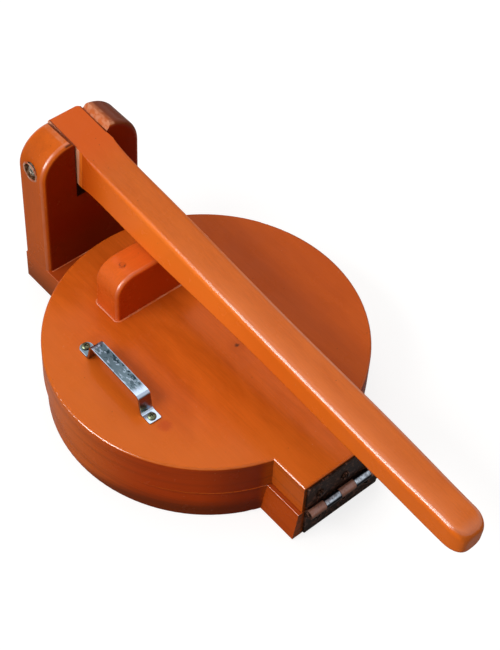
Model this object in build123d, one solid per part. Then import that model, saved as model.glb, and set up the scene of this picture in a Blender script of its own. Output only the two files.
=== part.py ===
from build123d import *
import os
from math import atan2, cos, degrees, radians, sin, sqrt

# Wooden tortilla press: a round base board, a round lid on a steel butt hinge, and a long
# lever on a slotted post that presses the lid down through a block. Millimetres, +Z up.
# Origin: centre of the round base board, on the plane that the press stands on.
# +X points along the closed lever to its handle end, and the post stands at -X.

# --- Round boards ----------------------------------------------------------------------
disc_radius = 127.0  # both discs, for a 250 mm tortilla at most
base_thickness = 30.0
lid_thickness = 31.0
board_gap = 0.5  # daylight between the closed boards
lid_overhang = 1.5  # the lid was cut a little larger than the base
lid_center_x = -1.6  # and it sits a little to the rear
lid_edge_round = 2.0  # worn top arris of the lid
base_edge_round = 1.6  # bottom arris of the base
seam_edge_round = 0.5  # broken arrises on both sides of the seam

# --- Front tab, which carries the hinge ------------------------------------------------
tab_front_x = 155.0
base_tab_half_width = 43.7
base_tab_top_in = 2.4  # the base tab's -Y side leans: its top is set in
base_tab_foot_out = 1.6  # and its foot is set out
lid_tab_setback = 5.7  # the lid's tab is set in on the -Y side

# --- Post and its slot -----------------------------------------------------------------
post_front_x = -151.0
post_thickness = 32.0
post_width = 95.4
post_height = 129.5  # above the base board
post_left_radius = 28.0  # outer top corners, seen from the front
post_right_radius = 34.0
post_front_round = 4.6  # front arrises
post_rear_round = 2.5
slot_width = 31.0
slot_depth = 59.0  # from the post's top to the slot's floor
slot_left_chamfer = 4.0  # bevels along the slot's two top edges
slot_right_chamfer = 5.5

# --- Pivot bolt, M8, with its nut, washers and spacers ---------------------------------
pivot_setback = 16.5  # pivot axis behind the post's front face
pivot_drop = 25.0  # pivot axis below the post's top
bolt_radius = 4.0
bolt_hole_play = 0.08  # radial, in the post and the lever
hex_across_flats = 13.0
bolt_head_height = 5.3
nut_height = 5.5
hex_chamfer = 0.8
bolt_overrun = 1.2  # bolt end that stands out of the nut
flat_washer_radius = 7.5  # narrow washers
flat_washer_thickness = 1.6
counterbore_radius = 7.9
nut_pocket_spare = 2.6  # depth left over outside the bolt's end
head_pocket_spare = 5.0  # deeper, as the post's corner rounds away beside the head
spacer_radius = 12.0
spacer_thickness = 0.6
spacer_play = 0.2  # between each spacer and the lever

# --- Lever, measured from the pivot along its own axis ---------------------------------
lever_side_play = 0.5  # lever to slot wall, each side, where the lever is widest
tail_reach = 21.5  # behind the pivot
tail_top = 21.0
tail_under = 16.4
tail_round = 3.0
tail_corner_cut = 4.0  # off the +Y corner of its end
shoulder_bevel = 7.5  # length of the bevel between tenon and arm
shoulder_clear = 0.6  # bevel starts this far in front of the post
shoulder_top = 20.3
shoulder_under = 19.0
shoulder_arris = 0.8
neck_reach = 55.0
neck_top = 18.8
neck_under = 20.4
neck_width = 29.8
neck_arris = 4.6
press_top = 16.8  # above the pressure block
press_under = 21.7
press_width = 30.2
press_bow = 0.7  # how far the arm's middle bows to +Y
press_arris = 5.4
waist_reach = 228.0
waist_top = 12.4
waist_under = 16.2
waist_width = 30.2
waist_bow = 0.7
grip_reach = 335.0
grip_top = 11.0
grip_under = 15.8
grip_width = 30.8
grip_bow = 0.8
grip_arris = 5.5
lever_reach = 446.0
lever_steps = 9  # equal lengths between the sections of the arm
tip_length = 15.0  # rounded end of the handle
tip_width = 28.4
tip_steps = 6
tip_flat_width = 0.45  # share of the width that is left at the very end
tip_flat_top = 0.30  # shares of the height above and below that are left there
tip_flat_under = 0.86

# --- Pressure block on the lid ---------------------------------------------------------
block_front_x = -53.5
block_thickness = 28.0
block_length = 95.0
block_height = 43.5
block_shoulder_radius = 18.0
block_edge_round = 3.5
block_rest_gap = 0.3  # left between the closed lever and the block
block_screw_spread = 62.0
block_plug_depth = 8.0
block_plug_radius = 3.2

# --- Strap handle on the lid -----------------------------------------------------------
strap_center_x = -6.6
strap_rim_distance = 44.0  # from the strap's middle line to the rim of the disc
strap_turn = -1.3  # degrees, as it was screwed on slightly askew
strap_screw_spacing = 84.0
strap_rear_foot = 14.2  # lengths of the two feet
strap_front_foot = 11.5
strap_rear_margin = 3.9  # screw centre to the end of the foot
strap_front_margin = 4.7
strap_rear_corner = 5.0
strap_front_corner = 1.2
strap_width = 11.0
strap_thickness = 1.5
strap_rise = 18.5  # lid to the top of the grip at its ends
strap_lean = 3.4  # the risers lean in by this much
strap_bend_radius = 3.2

# --- Butt hinge on the front of both tabs ----------------------------------------------
hinge_length = 75.0
hinge_inset = 2.75  # from the lid tab's -Y side
hinge_knuckles = 5
hinge_leaf_thickness = 1.8
hinge_leaf_reach = 28.3  # from the pin's axis to the leaf's far edge
hinge_leaf_corner = 1.5
knuckle_radius = 4.2
knuckle_gap = 0.3  # between neighbouring knuckles
knuckle_to_wood = 0.3
leaf_notch_gap = 0.6  # between a knuckle and the other leaf's notch
pin_radius = 2.4
pin_fit = 0.05
pin_end_length = 1.6
pin_end_round = 1.2
hinge_screw_pitch = 25.0
hinge_screw_row = 14.5  # screw row's distance from the pin's axis

# --- Wood screws -----------------------------------------------------------------------
screw_fit = 0.05  # radial, shank in its pilot hole
plate_hole_play = 0.3  # radial, shank in a steel strap or leaf
screw_point_length = 2.2  # in shank radii
screw_point_blunt = 0.1  # radius of the point's very end, in shank radii
head_dome = 0.85  # rounding of a domed head, as a share of its height
driver_slot_width = 1.1
driver_slot_depth = 0.5  # as a share of the head's height
driver_cross_length = 1.1  # as a share of the head's radius
hinge_screw_head_radius = 3.8
hinge_screw_head_height = 2.4
hinge_screw_radius = 1.9
hinge_screw_length = 20.0
strap_screw_head_radius = 3.5
strap_screw_head_height = 2.2
strap_screw_radius = 2.1
strap_screw_length = 18.0
post_screw_head_radius = 5.0
post_screw_radius = 2.5
post_screw_length = 75.0
post_screw_recess = 1.0  # heads sit this far inside the base's underside
post_screw_pitch = 24.0
post_screw_count = 4
block_screw_head_radius = 3.1
block_screw_radius = 1.8
block_screw_into_lid = 22.0

# --- Places that follow from the sizes above -------------------------------------------
lid_bottom_z = base_thickness + board_gap
lid_top_z = lid_bottom_z + lid_thickness
post_rear_x = post_front_x - post_thickness
post_top_z = base_thickness + post_height
post_left_y = -base_tab_half_width
post_right_y = post_left_y + post_width
slot_y = (post_left_y + post_right_y) / 2
slot_floor_z = post_top_z - slot_depth
slot_left_y = slot_y - slot_width / 2
slot_right_y = slot_y + slot_width / 2
pivot_x = post_front_x - pivot_setback
pivot_z = post_top_z - pivot_drop
block_top_z = lid_top_z + block_height
block_center_x = block_front_x - block_thickness / 2
lid_tab_left_y = lid_tab_setback - base_tab_half_width
hinge_left_y = lid_tab_left_y + hinge_inset
hinge_y = hinge_left_y + hinge_length / 2
pin_x = tab_front_x + knuckle_to_wood + knuckle_radius
pin_z = base_thickness + board_gap / 2
lever_width = slot_width - 2 * lever_side_play
tenon_width = slot_width - 2 * (spacer_thickness + spacer_play)
shoulder_reach = pivot_setback + shoulder_clear + shoulder_bevel

# The lever lies on the front edge of the block's flat top, which sets how far it slopes.
contact_run = block_front_x - block_edge_round - pivot_x
contact_fall = pivot_z - (block_top_z + block_rest_gap)
press_reach = sqrt(contact_run**2 + contact_fall**2 - press_under**2)
lever_slope = degrees(atan2(contact_fall, contact_run) - atan2(press_under, press_reach))
lever_along = Vector(cos(radians(lever_slope)), 0, -sin(radians(lever_slope)))
lever_up = Vector(sin(radians(lever_slope)), 0, cos(radians(lever_slope)))
pivot_point = Vector(pivot_x, slot_y, pivot_z)
strap_center_y = strap_rim_distance - disc_radius
strap_place = Pos(strap_center_x, strap_center_y, lid_top_z) * Rot(0, 0, strap_turn)


def slab(x0, x1, y0, y1, z0, z1):
    """Rectangular solid between two corners."""
    middle = Pos((x0 + x1) / 2, (y0 + y1) / 2, (z0 + z1) / 2)
    return middle * Box(x1 - x0, y1 - y0, z1 - z0)


def patch(x0, x1, y0, y1):
    """Rectangle between two corners, in the XY plane."""
    return Pos((x0 + x1) / 2, (y0 + y1) / 2) * Rectangle(x1 - x0, y1 - y0)


def rod_along_y(radius, y0, y1, x, z):
    """Round bar parallel to Y."""
    return Pos(x, (y0 + y1) / 2, z) * Rot(90, 0, 0) * Cylinder(radius, y1 - y0)


def hex_along_y(y0, y1, x, z):
    """Hexagonal bar parallel to Y, with its two end faces chamfered at the corners."""
    hexagon = RegularPolygon(hex_across_flats / 2, 6, major_radius=False)
    bar = extrude(hexagon, (y1 - y0) / 2, both=True)
    corner_radius = hex_across_flats / sqrt(3)
    turned = Cylinder(corner_radius, y1 - y0)
    turned = chamfer(turned.edges().filter_by(GeomType.CIRCLE), hex_chamfer)
    return Pos(x, (y0 + y1) / 2, z) * Rot(90, 0, 0) * (bar & turned)


def ring_along_y(outer, inner, y0, y1, x, z):
    """Flat ring or washer around an axis parallel to Y."""
    return rod_along_y(outer, y0, y1, x, z) - rod_along_y(inner, y0, y1, x, z)


def round_arrises(solid, bottom_round, top_round):
    """Rounds the arrises around a board's underside and its top."""
    solid = fillet(solid.edges().group_by(Axis.Z)[0], bottom_round)
    return fillet(solid.edges().group_by(Axis.Z)[-1], top_round)


def shank(radius, length):
    """Screw shank from z = 0 down, with a pointed end."""
    point = min(radius * screw_point_length, length / 2)
    body = Pos(0, 0, -(length - point) / 2) * Cylinder(radius, length - point)
    tip = Pos(0, 0, -length + point / 2) * Cone(radius * screw_point_blunt, radius, point)
    return body + tip


def pilot(radius, length):
    """Hole for a shank, from above its mouth to just below its point."""
    depth = length + screw_fit
    return Pos(0, 0, -depth / 2) * Cylinder(radius + screw_fit, depth)


def round_head_screw(head_radius, head_height, radius, length, crossed):
    """Domed screw whose head stands on z = 0, with one driver slot or a crossed one."""
    head = Pos(0, 0, head_height / 2) * Cylinder(head_radius, head_height)
    head = fillet(head.edges().group_by(Axis.Z)[-1], head_height * head_dome)
    depth = head_height * driver_slot_depth
    slot = Pos(0, 0, head_height - depth / 2)
    if crossed:
        arm = head_radius * driver_cross_length
        head -= slot * Box(arm, driver_slot_width, depth)
        head -= slot * Box(driver_slot_width, arm, depth)
    else:
        head -= slot * Box(head_radius * 2, driver_slot_width, depth)
    return head + shank(radius, length)


def countersunk_screw(head_radius, radius, length):
    """Flat-headed screw whose head ends at z = 0, with a crossed driver recess."""
    head_height = head_radius - radius
    head = Pos(0, 0, -head_height / 2) * Cone(radius, head_radius, head_height)
    depth = head_height * driver_slot_depth
    recess = Pos(0, 0, -depth / 2)
    arm = head_radius * driver_cross_length
    head -= recess * Box(arm, driver_slot_width, depth)
    head -= recess * Box(driver_slot_width, arm, depth)
    return head + Pos(0, 0, -head_height) * shank(radius, length - head_height)


def countersink(head_radius, radius):
    """Conical seat that the head of a countersunk screw fills."""
    height = head_radius - radius
    return Pos(0, 0, -height / 2) * Cone(radius, head_radius, height)


# --- Places of the screws, each looking along the local +Z out of the wood --------------
def post_screw_places():
    first = -(post_screw_count - 1) / 2
    x = post_front_x - post_thickness / 2
    for index in range(post_screw_count):
        y = slot_y + (first + index) * post_screw_pitch
        yield Pos(x, y, post_screw_recess) * Rot(180, 0, 0)


def block_screw_places():
    for side in (-1, 1):
        yield Pos(block_center_x, side * block_screw_spread / 2, block_top_z - block_plug_depth)


def strap_screw_places():
    for side in (-1, 1):
        yield strap_place * Pos(side * strap_screw_spacing / 2, 0, strap_thickness)


def hinge_screw_places(side):
    """Screw seats on one leaf: side is 1 for the lid's leaf, -1 for the base's."""
    x = tab_front_x + hinge_leaf_thickness
    for step in (-1, 0, 1):
        y = hinge_y + step * hinge_screw_pitch
        yield Pos(x, y, pin_z + side * hinge_screw_row) * Rot(0, 90, 0)


def drill(solid, places, radius, length):
    for place in places:
        solid -= place * pilot(radius, length)
    return solid


# --- Base body -------------------------------------------------------------------------
def base_board():
    outline = Circle(disc_radius) + patch(post_rear_x, 0, post_left_y, post_right_y)
    tab = Polyline(
        (-base_tab_half_width - base_tab_foot_out, 0),
        (base_tab_half_width, 0),
        (base_tab_half_width, base_thickness),
        (-base_tab_half_width + base_tab_top_in, base_thickness),
        close=True,
    )
    solid = extrude(outline, base_thickness) + extrude(Plane.YZ * make_face(tab), tab_front_x)
    solid = round_arrises(solid, base_edge_round, seam_edge_round)
    for place in post_screw_places():
        head_hole = Cylinder(post_screw_head_radius, 2 * post_screw_recess)
        solid -= place * head_hole
        solid -= place * countersink(post_screw_head_radius, post_screw_radius)
        solid -= place * pilot(post_screw_radius, post_screw_length)
    return drill(solid, hinge_screw_places(-1), hinge_screw_radius, hinge_screw_length)


def post_block():
    face = patch(post_left_y, post_right_y, base_thickness, post_top_z)
    left, right = face.vertices().group_by(Axis.Y)[-1].sort_by(Axis.X)
    face = fillet(left, post_left_radius)
    right = face.vertices().sort_by(Axis.X)[-2:].sort_by(Axis.Y)[-1]
    face = fillet(right, post_right_radius)
    solid = extrude(Plane.YZ.offset(post_rear_x) * face, post_thickness)
    for end, rounding in ((-1, post_front_round), (0, post_rear_round)):
        rim = solid.edges().group_by(Axis.X)[end]
        solid = fillet([e for e in rim if e.center().Z > base_thickness + rounding], rounding)
    slot = Polyline(
        (slot_left_y, slot_floor_z),
        (slot_right_y, slot_floor_z),
        (slot_right_y, post_top_z - slot_right_chamfer),
        (slot_right_y + slot_right_chamfer, post_top_z),
        (slot_left_y - slot_left_chamfer, post_top_z),
        (slot_left_y, post_top_z - slot_left_chamfer),
        close=True,
    )
    solid -= extrude(Plane.YZ.offset(post_rear_x) * make_face(slot), post_thickness)
    bolt_hole = bolt_radius + bolt_hole_play
    solid -= rod_along_y(bolt_hole, post_left_y, post_right_y, pivot_x, pivot_z)
    nut_pocket = (post_left_y, nut_seat_y())
    head_pocket = (head_seat_y(), post_right_y)
    for y0, y1 in (nut_pocket, head_pocket):
        solid -= rod_along_y(counterbore_radius, y0, y1, pivot_x, pivot_z)
    return drill(solid, post_screw_places(), post_screw_radius, post_screw_length)


def nut_seat_y():
    """Floor of the pocket in the -Y cheek, which the nut's washer lies on."""
    stack = flat_washer_thickness + nut_height + bolt_overrun
    return post_left_y + nut_pocket_spare + stack


def head_seat_y():
    """Floor of the pocket in the +Y cheek, which the head's washer lies on."""
    return post_right_y - head_pocket_spare - bolt_head_height - flat_washer_thickness


def post_screws():
    screw = countersunk_screw(post_screw_head_radius, post_screw_radius, post_screw_length)
    return [place * screw for place in post_screw_places()]


def pivot_bolt():
    head_y = head_seat_y() + flat_washer_thickness
    end_y = nut_seat_y() - flat_washer_thickness - nut_height - bolt_overrun
    body = rod_along_y(bolt_radius, end_y, head_y, pivot_x, pivot_z)
    body = chamfer(body.edges().group_by(Axis.Y)[0], hex_chamfer)
    return body + hex_along_y(head_y, head_y + bolt_head_height, pivot_x, pivot_z)


def pivot_nut():
    inner_y = nut_seat_y() - flat_washer_thickness
    outer_y = inner_y - nut_height
    nut = hex_along_y(outer_y, inner_y, pivot_x, pivot_z)
    return nut - rod_along_y(bolt_radius + screw_fit, outer_y, inner_y, pivot_x, pivot_z)


def flat_washer(inner_y, outer_y):
    hole = bolt_radius + plate_hole_play
    return ring_along_y(flat_washer_radius, hole, inner_y, outer_y, pivot_x, pivot_z)


def lever_spacers():
    """Two washers that keep the lever's tenon off the walls of the slot."""
    hole = bolt_radius + plate_hole_play
    left = (slot_left_y, slot_left_y + spacer_thickness)
    right = (slot_right_y - spacer_thickness, slot_right_y)
    return [ring_along_y(spacer_radius, hole, y0, y1, pivot_x, pivot_z) for y0, y1 in (left, right)]


def hinge_leaf(side):
    """Leaf of the butt hinge: side is 1 for the lid's leaf, -1 for the base's."""
    back_x = tab_front_x
    face_x = tab_front_x + hinge_leaf_thickness
    notch = knuckle_radius + leaf_notch_gap
    near_z, far_z = sorted((pin_z + side * notch, pin_z + side * hinge_leaf_reach))
    leaf = slab(back_x, face_x, hinge_left_y, hinge_left_y + hinge_length, near_z, far_z)
    outer = leaf.edges().filter_by(Axis.X).group_by(Axis.Z)[-1 if side > 0 else 0]
    leaf = fillet(outer, hinge_leaf_corner)
    pitch = hinge_length / hinge_knuckles
    for index in range(hinge_knuckles):
        is_base_knuckle = index % 2 == 0
        if is_base_knuckle == (side > 0):
            continue
        y0 = hinge_left_y + index * pitch + (knuckle_gap / 2 if index else 0)
        last = index == hinge_knuckles - 1
        y1 = hinge_left_y + (index + 1) * pitch - (0 if last else knuckle_gap / 2)
        web_z = sorted((pin_z, pin_z + side * notch))
        leaf += slab(back_x, face_x, y0, y1, *web_z)
        leaf += rod_along_y(knuckle_radius, y0, y1, pin_x, pin_z)
    bore_end = hinge_left_y + hinge_length
    leaf -= rod_along_y(pin_radius + pin_fit, hinge_left_y, bore_end, pin_x, pin_z)
    hole = hinge_screw_radius + plate_hole_play
    for place in hinge_screw_places(side):
        leaf -= place * Cylinder(hole, 2 * hinge_leaf_thickness)
    return leaf


def hinge_pin():
    y0 = hinge_left_y - pin_end_length
    y1 = hinge_left_y + hinge_length + pin_end_length
    pin = rod_along_y(pin_radius, y0, y1, pin_x, pin_z)
    ends = pin.edges().filter_by(GeomType.CIRCLE)
    return fillet(ends, pin_end_round)


def hinge_screws(side):
    screw = round_head_screw(
        hinge_screw_head_radius,
        hinge_screw_head_height,
        hinge_screw_radius,
        hinge_screw_length,
        crossed=False,
    )
    return [place * screw for place in hinge_screw_places(side)]


# --- Lid body --------------------------------------------------------------------------
def lid_board():
    outline = Pos(lid_center_x, 0) * Circle(disc_radius + lid_overhang)
    outline += patch(0, tab_front_x, lid_tab_left_y, base_tab_half_width)
    solid = extrude(Pos(0, 0, lid_bottom_z) * outline, lid_thickness)
    solid = round_arrises(solid, seam_edge_round, lid_edge_round)
    for place in block_screw_places():
        deep = block_height - block_plug_depth + block_screw_into_lid
        solid -= place * pilot(block_screw_radius, deep)
    solid = drill(solid, strap_screw_places(), strap_screw_radius, strap_screw_length)
    return drill(solid, hinge_screw_places(1), hinge_screw_radius, hinge_screw_length)


def pressure_block():
    half = block_length / 2
    face = patch(-half, half, lid_top_z, block_top_z)
    face = fillet(face.vertices().group_by(Axis.Y)[-1], block_shoulder_radius)
    back_x = block_front_x - block_thickness
    solid = extrude(Plane.YZ.offset(back_x) * face, block_thickness)
    ends = solid.edges().group_by(Axis.X)
    above = [e for e in ends[0] + ends[-1] if e.center().Z > lid_top_z + block_edge_round]
    solid = fillet(above, block_edge_round)
    for place in block_screw_places():
        deep = block_height - block_plug_depth
        solid -= place * pilot(block_screw_radius, deep)
        solid -= place * countersink(block_screw_head_radius, block_screw_radius)
        pocket = Pos(0, 0, block_plug_depth / 2) * Cylinder(block_plug_radius, block_plug_depth)
        solid -= place * pocket
    return solid


def block_screws():
    length = block_height - block_plug_depth + block_screw_into_lid
    screw = countersunk_screw(block_screw_head_radius, block_screw_radius, length)
    return [place * screw for place in block_screw_places()]


def block_plugs():
    plug = Pos(0, 0, block_plug_depth / 2) * Cylinder(block_plug_radius, block_plug_depth)
    return [place * plug for place in block_screw_places()]


def strap_handle():
    low = strap_thickness / 2
    high = strap_rise - strap_thickness / 2
    rear_end = -strap_screw_spacing / 2 - strap_rear_margin
    front_end = strap_screw_spacing / 2 + strap_front_margin
    rear_heel = rear_end + strap_rear_foot
    front_heel = front_end - strap_front_foot
    corners = [
        (rear_end, low),
        (rear_heel, low),
        (rear_heel + strap_lean, high),
        (front_heel - strap_lean, high),
        (front_heel, low),
        (front_end, low),
    ]
    path = FilletPolyline(*corners, radius=strap_bend_radius)
    side = trace(path, line_width=strap_thickness)
    strap = extrude(Plane.XZ * side, strap_width / 2, both=True)
    for end, corner in ((0, strap_rear_corner), (-1, strap_front_corner)):
        strap = fillet(strap.edges().filter_by(Axis.Z).group_by(Axis.X)[end], corner)
    solid = strap_place * strap
    hole = strap_screw_radius + plate_hole_play
    for place in strap_screw_places():
        solid -= place * Cylinder(hole, 2 * strap_thickness + screw_fit)
    return solid


def strap_screws():
    screw = round_head_screw(
        strap_screw_head_radius,
        strap_screw_head_height,
        strap_screw_radius,
        strap_screw_length,
        crossed=True,
    )
    return [place * screw for place in strap_screw_places()]


# --- Lever body ------------------------------------------------------------------------
def lever_section(reach, top, under, width, arris, bow):
    """Cross-section of the arm at a distance in front of the pivot."""
    middle = pivot_point + lever_along * reach + lever_up * ((top - under) / 2)
    middle += Vector(0, bow, 0)
    plane = Plane(origin=middle, x_dir=(0, 1, 0), z_dir=lever_along)
    return plane * RectangleRounded(width, top + under, arris)


def between(stations, reach):
    """Sizes at a reach, in proportion between the two stations around it."""
    for near, far in zip(stations, stations[1:]):
        if reach <= far[0]:
            share = (reach - near[0]) / (far[0] - near[0])
            return [a + (b - a) * share for a, b in zip(near[1:], far[1:])]
    return stations[-1][1:]


def arm_sections():
    """Equally spaced sections from the shoulder to the start of the rounded tip."""
    tip_start = lever_reach - tip_length
    stations = [
        (shoulder_reach, shoulder_top, shoulder_under, lever_width, shoulder_arris, 0),
        (neck_reach, neck_top, neck_under, neck_width, neck_arris, 0),
        (press_reach, press_top, press_under, press_width, press_arris, press_bow),
        (waist_reach, waist_top, waist_under, waist_width, grip_arris, waist_bow),
        (grip_reach, grip_top, grip_under, grip_width, grip_arris, grip_bow),
        (tip_start, grip_top, grip_under, tip_width, grip_arris, 0),
    ]
    step = (tip_start - shoulder_reach) / lever_steps
    for index in range(lever_steps + 1):
        reach = shoulder_reach + index * step
        yield lever_section(reach, *between(stations, reach))


def tip_sections():
    """Sections that close the handle's end in a quarter of an ellipse, most from its top."""
    for index in range(tip_steps + 1):
        turn = radians(90 * index / tip_steps)
        width = tip_width * (tip_flat_width + (1 - tip_flat_width) * cos(turn))
        top = grip_top * (tip_flat_top + (1 - tip_flat_top) * cos(turn))
        under = grip_under * (tip_flat_under + (1 - tip_flat_under) * cos(turn))
        reach = lever_reach - tip_length * (1 - sin(turn))
        yield lever_section(reach, top, under, width, grip_arris, 0)


def tenon():
    """Narrow rear end of the lever, with the bevel that widens it to the arm."""
    bevel_start = shoulder_reach - shoulder_bevel
    side_plane = Plane(origin=pivot_point, x_dir=lever_along, z_dir=(0, -1, 0))
    side = Polyline(
        (-tail_reach, -tail_under),
        (-tail_reach, tail_top),
        (bevel_start, shoulder_top),
        (bevel_start, -shoulder_under),
        close=True,
    )
    side = make_face(side)
    side = fillet(side.vertices().group_by(Axis.X)[0], tail_round)
    body = extrude(side_plane * side, tenon_width / 2, both=True)
    plan = Plane(origin=pivot_point, x_dir=lever_along, z_dir=lever_up)
    corner = Polyline(
        (-tail_reach, tenon_width / 2 - tail_corner_cut),
        (-tail_reach, tenon_width / 2),
        (tail_corner_cut - tail_reach, tenon_width / 2),
        close=True,
    )
    body -= extrude(plan * make_face(corner), tail_top + tail_under, both=True)
    height = shoulder_top + shoulder_under
    middle = lever_up * ((shoulder_top - shoulder_under) / 2)
    ends = []
    for reach, width in ((bevel_start, tenon_width), (shoulder_reach, lever_width)):
        origin = pivot_point + lever_along * reach + middle
        plane = Plane(origin=origin, x_dir=(0, 1, 0), z_dir=lever_along)
        ends.append(plane * Rectangle(width, height))
    return body + loft(ends, ruled=True)


def lever_arm():
    solid = tenon() + loft(list(arm_sections())) + loft(list(tip_sections()))
    hole = bolt_radius + bolt_hole_play
    return solid - rod_along_y(hole, slot_left_y, slot_right_y, pivot_x, pivot_z)


def save(name, shape):
    solids = shape if isinstance(shape, list) else [shape]
    found = [solid for item in solids for solid in item.solids()]
    part = found[0] if len(found) == 1 else Compound(children=found)
    part.label = name
    export_step(part, os.path.join("parts", name + ".step"))


def main():
    os.makedirs("parts", exist_ok=True)
    save("base_board", base_board())
    save("post_block", post_block())
    save("post_screws", post_screws())
    save("pivot_bolt", pivot_bolt())
    save("pivot_nut", pivot_nut())
    save("nut_washer", flat_washer(nut_seat_y() - flat_washer_thickness, nut_seat_y()))
    save("head_washer", flat_washer(head_seat_y(), head_seat_y() + flat_washer_thickness))
    save("lever_spacers", lever_spacers())
    save("hinge_leaf_base", hinge_leaf(-1))
    save("hinge_pin", hinge_pin())
    save("hinge_screws_base", hinge_screws(-1))
    save("lid_board", lid_board())
    save("pressure_block", pressure_block())
    save("block_screws", block_screws())
    save("block_plugs", block_plugs())
    save("strap_handle", strap_handle())
    save("strap_screws", strap_screws())
    save("hinge_leaf_lid", hinge_leaf(1))
    save("hinge_screws_lid", hinge_screws(1))
    save("lever_arm", lever_arm())
    print("lever slope", round(lever_slope, 2), "press reach", round(press_reach, 1))


main()
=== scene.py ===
import math

import bmesh
import bpy
from mathutils import Matrix, Vector


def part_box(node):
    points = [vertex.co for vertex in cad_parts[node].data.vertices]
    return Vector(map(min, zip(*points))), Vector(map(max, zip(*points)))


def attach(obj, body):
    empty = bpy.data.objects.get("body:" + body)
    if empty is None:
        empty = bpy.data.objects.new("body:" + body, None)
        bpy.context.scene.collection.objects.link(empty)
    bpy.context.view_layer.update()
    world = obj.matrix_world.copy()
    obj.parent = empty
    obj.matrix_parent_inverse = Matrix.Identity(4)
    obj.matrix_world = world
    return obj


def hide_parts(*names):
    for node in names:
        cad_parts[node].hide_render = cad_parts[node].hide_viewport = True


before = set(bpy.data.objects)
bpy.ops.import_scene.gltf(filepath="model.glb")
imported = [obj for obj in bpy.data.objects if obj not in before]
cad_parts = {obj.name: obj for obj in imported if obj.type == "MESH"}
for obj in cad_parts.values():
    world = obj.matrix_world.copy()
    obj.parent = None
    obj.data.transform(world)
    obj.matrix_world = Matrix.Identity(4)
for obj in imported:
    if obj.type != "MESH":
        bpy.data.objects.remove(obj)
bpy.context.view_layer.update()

bl_info = {
    "name": "Wooden tortilla press",
    "version": (1, 0, 0),
    "blender": (4, 5, 0),
    "location": "3D view > Sidebar > Press",
    "description": "Dresses a wooden tortilla press with varnished wood, zinc, dark steel and its small marks",
    "category": "Object",
}

MM = 0.001


# --- Sizes and colours that a user would change ------------------------------------------
def colour_prop(name, text, value):
    return bpy.props.FloatVectorProperty(
        name=name, description=text, subtype="COLOR", size=3, min=0, max=1, default=value
    )


def length_prop(name, text, value):
    return bpy.props.FloatProperty(
        name=name, description=text, subtype="DISTANCE", unit="LENGTH", precision=5, default=value
    )


def share_prop(name, text, value):
    return bpy.props.FloatProperty(
        name=name, description=text, subtype="FACTOR", min=0, max=1, default=value
    )


def angle_prop(name, text, value):
    return bpy.props.FloatProperty(
        name=name, description=text, subtype="ANGLE", unit="ROTATION", default=math.radians(value)
    )


def number_prop(name, text, value):
    return bpy.props.FloatProperty(name=name, description=text, default=value, precision=4)


class PressWood(bpy.types.PropertyGroup):
    """Colours of the stained and varnished wood."""

    board_light: colour_prop("Board, light", "Light wood of both boards", (0.64, 0.115, 0.010))
    board_deep: colour_prop("Board, deep", "Deep wood of both boards", (0.47, 0.072, 0.004))
    # Painted sheen: a paler, milky tone that stands in for the varnish's reflection near the lid's rim
    board_sheen: colour_prop("Board, hazy", "Milky varnish near the rim", (0.60, 0.127, 0.014))
    board_rim: colour_prop("Board, rim", "Stain that the rims and end grain took up", (0.65, 0.130, 0.012))
    # Painted shade on the rims where they turn towards +X, and on the front tab's sides
    board_turned_shade: colour_prop("Board, far rim", "Rim on the side of the tab", (0.42, 0.042, 0.0008))
    # Painted shadow on the lid beyond the lever, and the darker halo around the knot
    board_shadow_and_halo: colour_prop("Board, shaded", "Deep wood beside the lever", (0.44, 0.070, 0.008))
    # Darkest tone: faint layers in the rims, and painted shade low on them
    board_layer_and_low_shade: colour_prop("Board, foot", "Darkest stain, low on the rims", (0.10, 0.018, 0.003))
    lever_light: colour_prop("Lever, light", "Light wood of the lever's top", (0.60, 0.125, 0.014))
    lever_deep: colour_prop("Lever, deep", "Deep wood of the lever's top", (0.50, 0.092, 0.009))
    # Painted glow along the lever's left arris
    lever_sheen: colour_prop("Lever, hazy", "Milky varnish along the lever's left arris", (0.80, 0.21, 0.055))
    # Painted light on the lever's sides
    lever_lit_side: colour_prop("Lever, side", "Bright wood of the lever's sides", (0.86, 0.165, 0.013))
    post_light: colour_prop("Post, light", "Light wood of the post", (0.62, 0.112, 0.007))
    post_deep: colour_prop("Post, deep", "Deep wood of the post", (0.46, 0.078, 0.006))
    # Painted shade on the post's faces towards the handle
    post_front_shade: colour_prop("Post, front", "Stain on the faces towards the handle", (0.185, 0.0086, 0.0003))
    block_light: colour_prop("Block, light", "Light wood of the block", (0.70, 0.120, 0.014))
    block_deep: colour_prop("Block, deep", "Deep wood of the block", (0.56, 0.088, 0.008))
    # Painted shade on the block's front
    block_front_shade: colour_prop("Block, front", "Stain on the block's front", (0.44, 0.038, 0.0012))
    dirt: colour_prop("Dirt", "Old dough and dust in corners", (0.06, 0.018, 0.006))
    raw: colour_prop("Bare wood", "Chipped varnish and dried glue", (0.62, 0.26, 0.14))
    gloss: share_prop("Varnish roughness", "Roughness of the clean varnish", 0.22)
    shine: share_prop("Varnish shine", "Specular level of the varnish", 0.07)


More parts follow.
